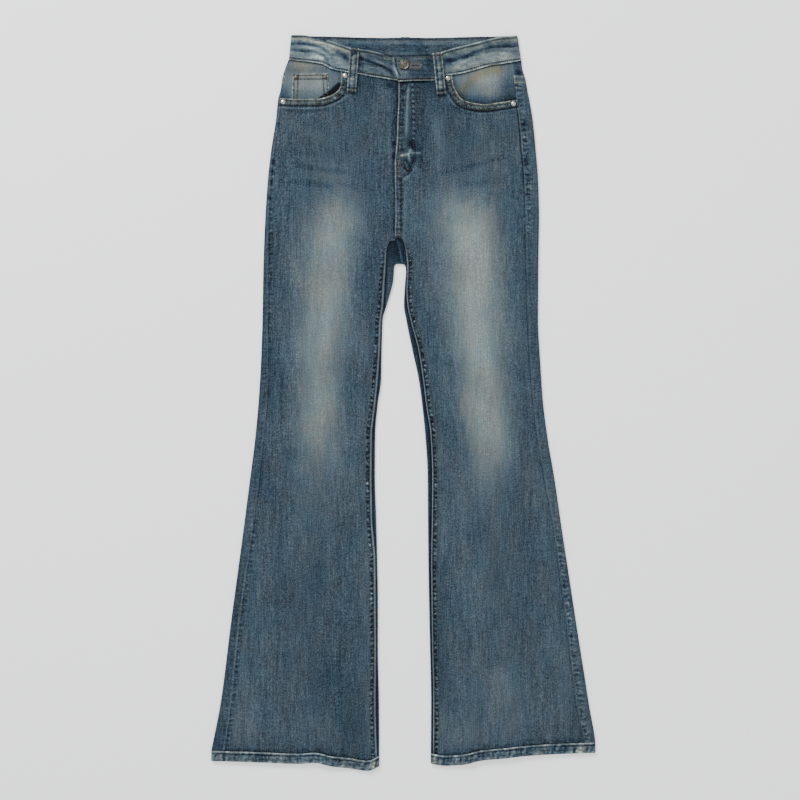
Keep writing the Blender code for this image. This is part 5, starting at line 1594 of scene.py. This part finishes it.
def buttonhole_row():
    """Thread wound over the edge of the buttonhole's slit, all round it."""
    turn = np.linspace(0, 2 * np.pi, 130)
    swing = np.where(np.arange(len(turn)) % 2, 2.2, -0.9)
    x = SLIT["x"] + (SLIT["half_length"] + swing) * np.cos(turn)
    y = SLIT["y"] + (SLIT["half_width"] + 1.6 * swing) * np.sin(turn)
    return row(drape(band_left, np.column_stack([x, y])), 0.15, pitch=1.5, fill=1.3)


sew("stitches_bar_tacks", tack_rows(), 0.36, -0.3)
buttonhole_stitches = sew("stitches_buttonhole", [buttonhole_row()], 0.3, -0.35)
print("buttonhole thread:", len(buttonhole_stitches.data.polygons), "faces")

# %% [markdown]
# Metal.  The waist button is a shallow domed disc with a rolled rim, and the rivets are small
# domes with a flat collar.  Both are turned shapes: a profile of radius and height carried round
# a circle, as a grid whose first and last columns meet.

# %% Button and rivets


def turned(name, profile, centre, steps):
    """A profile of (radius, height) carried round the vertical through a centre.

    The profile is rounded first: four points go between its corners, and each point takes a
    quarter of both its neighbours.
    """
    corners = np.array(profile, float)
    last = len(corners) - 1
    t = np.linspace(0, last, 5 * last + 1)
    line = np.stack([np.interp(t, range(last + 1), column) for column in corners.T], axis=1)
    line[1:-1] = (line[:-2] + 2 * line[1:-1] + line[2:]) / 4
    radius, height = line.T[..., None]
    turn = np.linspace(0, 2 * np.pi, steps + 1)[:-1]
    points = stack((centre[0] + radius * np.cos(turn), centre[1] + radius * np.sin(turn), height))
    piece = mesh_from(name, points.reshape(-1, 3), quads_of(points.shape[:2], closed=True))
    return piece


BUTTON_PLACE, SHANK = (1.5, 497.0), 2.4
button_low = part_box("button")[0].z / MM
cap = button_low + SHANK
button = turned("brass_button", [
    (0.02, button_low), (2.0, button_low), (2.0, cap), (6.6, cap), (7.5, cap + 0.7),
    (7.5, cap + 1.5), (7.0, cap + 2.2), (6.3, cap + 2.3), (5.7, cap + 2.0), (5.2, cap + 1.8),
    (4.4, cap + 1.9), (3.0, cap + 2.05), (1.5, cap + 2.15), (0.02, cap + 2.2)],
    BUTTON_PLACE, 72)
rivets = []
for name in sorted(frame["nodes"]):
    if name.startswith("rivet"):
        low, high = (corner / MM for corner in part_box(name))
        middle = (low + high) / 2
        coin = "coin" in name
        dome = 3.0 if coin else 3.4
        rivets.append(turned("dome_" + name, [
            (0.02, low.z), (dome, low.z), (dome, low.z + 0.5), (dome * 0.72, low.z + 0.7),
            (dome * 0.62, low.z + 1.3), (dome * 0.3, low.z + 1.65), (0.02, low.z + 1.7)],
            (middle.x, middle.y), 40))
        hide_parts(name)
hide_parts("button")
print("button and", len(rivets), "rivets")

# %% [markdown]
# Materials.  Shader maths reads best as ordinary expressions, so one small class wraps a socket
# and turns +, -, * and the rest into Math nodes.  Any other node comes from its one method node.

# %% Shader maths as expressions


class Value:
    """A socket in a material's node tree; arithmetic on it adds Math nodes."""

    def __init__(self, tree, socket):
        self.tree, self.socket = tree, socket

    def node(self, kind, settings=None, outlet=0, **inputs):
        """A new node's outlet.  An input goes by its name, or by _ and its number."""
        made = self.tree.nodes.new(kind)
        for key, setting in (settings or {}).items():
            if key == "stops":
                set_stops(made.color_ramp, setting)
            else:
                setattr(made, key, setting)
        for key, given in inputs.items():
            inlet = made.inputs[int(key[1:]) if key[0] == "_" else key.replace("_", " ")]
            if isinstance(given, Value):
                self.tree.links.new(given.socket, inlet)
            else:
                inlet.default_value = given
        return Value(self.tree, made.outputs[outlet])

    def maths(self, operation, other):
        return self.node("ShaderNodeMath", dict(operation=operation), _0=self, _1=other)

    def __add__(self, other):
        return self.maths("ADD", other)

    def __sub__(self, other):
        return self.maths("SUBTRACT", other)

    def __mul__(self, other):
        return self.maths("MULTIPLY", other)

    def __rsub__(self, other):
        return self * -1.0 + other

    __radd__, __rmul__ = __add__, __mul__

    def attribute(self, name):
        return self.node("ShaderNodeAttribute", dict(attribute_name=name), outlet=2)

    def mixed(self, way, share, first, second):
        """Two colours mixed by a share, in one of the Mix node's ways."""
        return self.node("ShaderNodeMix", dict(data_type="RGBA", blend_type=way), outlet=2,
                         _0=share, _6=first, _7=second)

    def ramp(self, stops):
        return self.node("ShaderNodeValToRGB", dict(stops=stops), Fac=self)

    def bumped(self, strength, distance):
        return self.node("ShaderNodeBump", Height=self, Strength=strength, Distance=distance)

    def feed(self, shader, name):
        self.tree.links.new(self.socket, shader.inputs[name])

    def between(self, low, high):
        """0 below low, 1 above high and a smooth S between."""
        return self.node("ShaderNodeMapRange", dict(interpolation_type="SMOOTHSTEP"),
                         _0=self, _1=low, _2=high, _3=0.0, _4=1.0)


def set_stops(ramp, stops):
    ramp.interpolation = "LINEAR"
    while len(ramp.elements) < len(stops):
        ramp.elements.new(0.5)
    for element, (place, colour) in zip(ramp.elements, stops):
        element.position = place
        element.color = (*colour, 1.0)


def new_material(name, roughness, metallic=0.0):
    """A Principled material, its shader, and a starting value to build on."""
    material = bpy.data.materials.new(name)
    material.use_nodes = True
    shader = material.node_tree.nodes["Principled BSDF"]
    shader.inputs["Roughness"].default_value = roughness
    shader.inputs["Metallic"].default_value = metallic
    start = Value(material.node_tree, None)
    return material, shader, start


def object_millimetres(start, stretch):
    """Object coordinates in millimetres, stretched by a factor along each axis."""
    place = start.node("ShaderNodeTexCoord", outlet=3)
    scale = [factor / MM for factor in stretch]
    return place.node("ShaderNodeMapping", dict(vector_type="POINT"), Vector=place, Scale=scale)


def noise(place, scale, detail=2.0, roughness=0.5, distortion=0.0):
    """Noise between 0 and 1 whose features are about 1 / scale across."""
    return place.node("ShaderNodeTexNoise", Vector=place, Scale=scale, Detail=detail,
                      Roughness=roughness, Distortion=distortion)


# %% [markdown]
# Denim is a twill: indigo threads run along the leg over white ones, so its colour is a mix of
# the two, and it fades where the indigo rubs off.  One tone value carries all of it.  The cloth's
# own tone, the uneven slubs along the grain and the fine weave are added up, and a ramp turns the
# sum into indigo, washed blue, pale grey and bare cotton.

# %% Denim
DENIM_STOPS = [
    (0.000, (0.0005, 0.0008, 0.0040)), (0.074, (0.0008, 0.0025, 0.0085)),
    (0.147, (0.0021, 0.0081, 0.0174)), (0.226, (0.0090, 0.0191, 0.0318)),
    (0.311, (0.0190, 0.0343, 0.0520)), (0.389, (0.0318, 0.0520, 0.0735)),
    (0.453, (0.0464, 0.0696, 0.0915)), (0.532, (0.0725, 0.0958, 0.1140)),
    (0.616, (0.1062, 0.1317, 0.1407)), (0.689, (0.1448, 0.1746, 0.1790)),
    (0.758, (0.1908, 0.2294, 0.2304)), (0.842, (0.2674, 0.3276, 0.3381)),
    (0.937, (0.4203, 0.5174, 0.5238)), (1.000, (0.6300, 0.7500, 0.7200))]


def denim(name, base, along="y", grit=1.0):
    """Washed twill: base is the tone of plain cloth, along the way of its warp, grit its grain."""
    material, shader, start = new_material(name, 0.88)
    tone, tint, pucker = (start.attribute(value) for value in ("tone", "tint", "pucker"))

    def grain(across, down):
        """Object coordinates squeezed so that noise is one unit across and down the warp."""
        squeeze = (across, down) if along == "y" else (down, across)
        return object_millimetres(start, (*squeeze, 0.3))

    def wave(direction, **inputs):
        """Straight waves between 0 and 1 that run one way over the cloth."""
        return start.node("ShaderNodeTexWave", dict(wave_type="BANDS", bands_direction=direction),
                          Vector=object_millimetres(start, (1.0, 1.0, 0.0)), Detail=1.0, outlet=1,
                          **inputs)

    slub, streak, weft, speck, cloud, band, cast, mottle = (
        noise(grain(across, down), 1.0, detail, roughness)
        for across, down, detail, roughness in (
            (0.70, 0.036, 3.0, 0.62), (0.30, 0.022, 2.0, 0.5), (0.12, 0.60, 2.0, 0.6),
            (0.82, 0.50, 2.0, 0.6), (0.030, 0.008, 3.0, 0.55), (0.085, 0.014, 2.0, 0.6),
            (0.035, 0.020, 2.0, 0.5), (0.20, 0.24, 2.0, 0.6)))
    twill = wave("DIAGONAL", Scale=0.42, Distortion=1.2)
    chain = wave("Y", Scale=0.043, Distortion=5.0, Detail_Scale=2.5)
    dents = pucker * ((mottle - 0.5) * 1.3 + (chain - 0.45) * 0.34)
    rough_cloth = (1.0 - tone * 1.9).maths("MAXIMUM", 0.52).maths("MINIMUM", 1.15)
    yarn = (slub - 0.5) * 0.48 + (streak - 0.5) * 0.10 + (weft - 0.5) * 0.24
    yarn = yarn + (speck - 0.5) * 0.90 + (twill - 0.5) * 0.05
    even = tone + base + (cloud - 0.5) * 0.16 + (band - 0.5) * 0.12
    total = even + yarn * rough_cloth * grit + dents
    colour = start.mixed("COLOR", 0.5, total.ramp(DENIM_STOPS), even.ramp(DENIM_STOPS))
    tan = start.mixed("MULTIPLY", tint, colour, (1.42, 1.08, 0.68, 1.0))
    shift = start.mixed("MIX", cast.between(0.35, 0.65), (0.93, 1.01, 1.03, 1.0),
                        (1.05, 1.0, 0.96, 1.0))
    start.mixed("MULTIPLY", 1.0, tan, shift).feed(shader, "Base Color")
    ((speck - 0.5) * 0.2 + 0.86).feed(shader, "Roughness")
    relief = twill * 0.35 + slub * 0.5 + speck * 0.6 + dents * 2.0
    relief.bumped(0.35, 0.0006).feed(shader, "Normal")
    shader.inputs["Specular IOR Level"].default_value = 0.2
    return material


denim_panel = denim("washed_denim", 0.385)
denim_band = denim("waistband_denim", 0.385, along="x", grit=0.8)
denim_loop = denim("belt_loop_denim", 0.385, grit=1.1)
denim_pocket = denim("pocket_denim", 0.385, grit=0.7)
print("denim made, with", len(denim_panel.node_tree.nodes), "nodes")

# %% [markdown]
# Thread is cotton, tan when new and greyed by the wash, so each stitch has its own shade between
# the two.  The button is old brass, dull in its hollows, and the pocket rivets are worn nickel.

# %% Thread and metal


def thread_material():
    """Matt thread: a shade for each stitch, and fuzz."""
    material, shader, start = new_material("tan_thread", 0.8)
    shade = start.attribute("tone")
    fuzz = noise(object_millimetres(start, (1.0, 1.0, 1.0)), 1.6, 1.0)
    total = shade * 0.28 + 0.45 + (fuzz - 0.5) * 0.5
    stops = [(0.0, (0.026, 0.028, 0.031)), (0.45, (0.075, 0.077, 0.074)),
             (1.0, (0.215, 0.225, 0.220))]
    total.ramp(stops).feed(shader, "Base Color")
    return material


def metal(name, dull, bright, roughness):
    """Old metal between two colours: where it is worn it is brighter and smoother."""
    material, shader, start = new_material(name, roughness, 1.0)
    wear = noise(object_millimetres(start, (1.0, 1.0, 1.0)), 0.6, 3.0, 0.6)
    worn = wear.between(0.35, 0.65)
    worn.ramp([(0.0, dull), (1.0, bright)]).feed(shader, "Base Color")
    (worn * -0.2 + (roughness + 0.12)).feed(shader, "Roughness")
    wear.bumped(0.2, 0.0003).feed(shader, "Normal")
    return material


thread = thread_material()
brass = metal("aged_brass_metal", (0.045, 0.045, 0.036), (0.17, 0.165, 0.13), 0.55)
nickel = metal("worn_nickel_metal", (0.34, 0.33, 0.31), (0.78, 0.76, 0.72), 0.28)

# %% [markdown]
# Each piece now gets its finish and takes the place of its plain panel, and its row gives the
# size of its flat cut.  Cut sizes come from the panels' own lengths and widths.

# %% Dressing the pieces


def dress(*rows):
    """Gives pieces their finish, in place of the plain panels, which it hides.

    A row holds the piece, its material, its slot, the node that it replaces, the width and length
    of its flat cut in millimetres, the share of that which is cloth, what it rests on and what is
    sewn to it.  The slot, what it rests on and what is sewn to it are not used.
    """
    for piece, material, slot, node, *_ in rows:
        piece.data.materials.append(material)
        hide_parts(node)
    for piece, _, _, _, size, share, rests_on, extras in rows:
        width, length = (value * MM for value in size)
        share * width * length


for side in SIGN:
    back, pocket = [backs[side][0]], [back_pockets[side]]
    dress(
        (fronts[side][0], denim_panel, "denim", f"front_{side}", (236, 1010), 0.86, back,
         [mouth_and_leg[side]]),
        (*back, denim_panel, "denim", f"back_{side}", (282, 1000), 0.86, pocket, ()),
        (yokes[side][0], denim_panel, "denim", f"yoke_{side}", (204, 66), 0.78,
         [back_loops[side]], ()),
        (hems[side][0], denim_panel, "denim", f"hem_{side}", (500, 16), 1.0, back,
         [hem_stitches[side]]),
        (bearers[side], denim_pocket, "denim_pale", f"pocket_bearer_{side}", (118, 84), 0.68,
         back, ()),
        (*pocket, denim_panel, "denim", f"back_pocket_{side}", (134, 150), 0.88, back, ()),
        (front_loops[side][0], denim_loop, "denim_pale", f"belt_loop_front_{side}", (13.5, 66),
         1.0, [band_piece], [loop_stitches[side]]))
for place, loop in back_loops.items():
    dress((loop, denim_loop, "denim", f"belt_loop_back_{place}", (13.5, 69), 1.0, [band_piece], ()))
dress((coin_pocket, denim_pocket, "denim_pale", "coin_pocket", (56, 50), 0.95,
       [bearers["right"]], [coin_stitches]),
      (band_piece, denim_band, "denim_dark", "waistband", (716, 37), 1.0,
       [backs["left"][0]], [band_stitches, buttonhole_stitches]))
for piece in bpy.data.objects:
    if piece.name.startswith("stitches"):
        piece.data.materials.append(thread)
button.data.materials.append(brass)
for piece in rivets:
    piece.data.materials.append(brass if "coin" in piece.name else nickel)

# %% [markdown]
# The studio: a plain pale floor just under the garment, a broad soft light from above the waist
# that rakes across the folds, a weaker one from the other side, and an even pale sky.

# %% Floor, lights and camera


def floor(size=8.0, drop=0.0006):
    """A plain pale square a little under the surface that the garment lies on, in metres."""
    mesh = bpy.data.meshes.new("floor")
    mesh.from_pydata([(-size, -size, 0), (size, -size, 0), (size, size, 0), (-size, size, 0)], [],
                     [(0, 1, 2, 3)])
    piece = add_object("floor", mesh)
    piece.location.z = -drop
    material, shader, _ = new_material("pale_floor", 0.9)
    values = {"Base Color": (0.92, 0.92, 0.92, 1.0), "Emission Color": (1.0, 1.0, 1.0, 1.0),
              "Emission Strength": 0.5}
    for name, value in values.items():
        shader.inputs[name].default_value = value
    mesh.materials.append(material)


def area_light(name, place, size, power):
    """A square soft light that faces the middle of the garment."""
    data = bpy.data.lights.new(name, "AREA")
    data.shape, data.size, data.energy = "SQUARE", size, power
    light = add_object(name, data)
    light.location = place
    light.rotation_euler = (-Vector(place)).to_track_quat("-Z", "Y").to_euler()


floor()
area_light("key_light", (-1.5, 2.6, 2.2), 1.4, 170)
area_light("fill_light", (1.8, -2.2, 3.0), 2.4, 30)
world = bpy.data.worlds.new("pale_sky")
world.use_nodes = True
sky = world.node_tree.nodes["Background"].inputs
sky["Color"].default_value = (0.94, 0.97, 1.0, 1.0)
sky["Strength"].default_value = 0.75
bpy.context.scene.world = world

# The camera looks straight down at the place that is the middle of the photo.
HEIGHT, WIDE, SENSOR, PHOTO_MIDDLE = 3.0, 1.18, 36.0, (-0.0046, 0.0041)
lens = bpy.data.cameras.new("camera")
lens.sensor_width = SENSOR
lens.lens = SENSOR * HEIGHT / WIDE
lens.clip_end = 20.0
camera = add_object("camera", lens)
camera.location = (*PHOTO_MIDDLE, HEIGHT)
bpy.context.scene.camera = camera
print("camera", HEIGHT, "m up, seeing", WIDE, "m across")
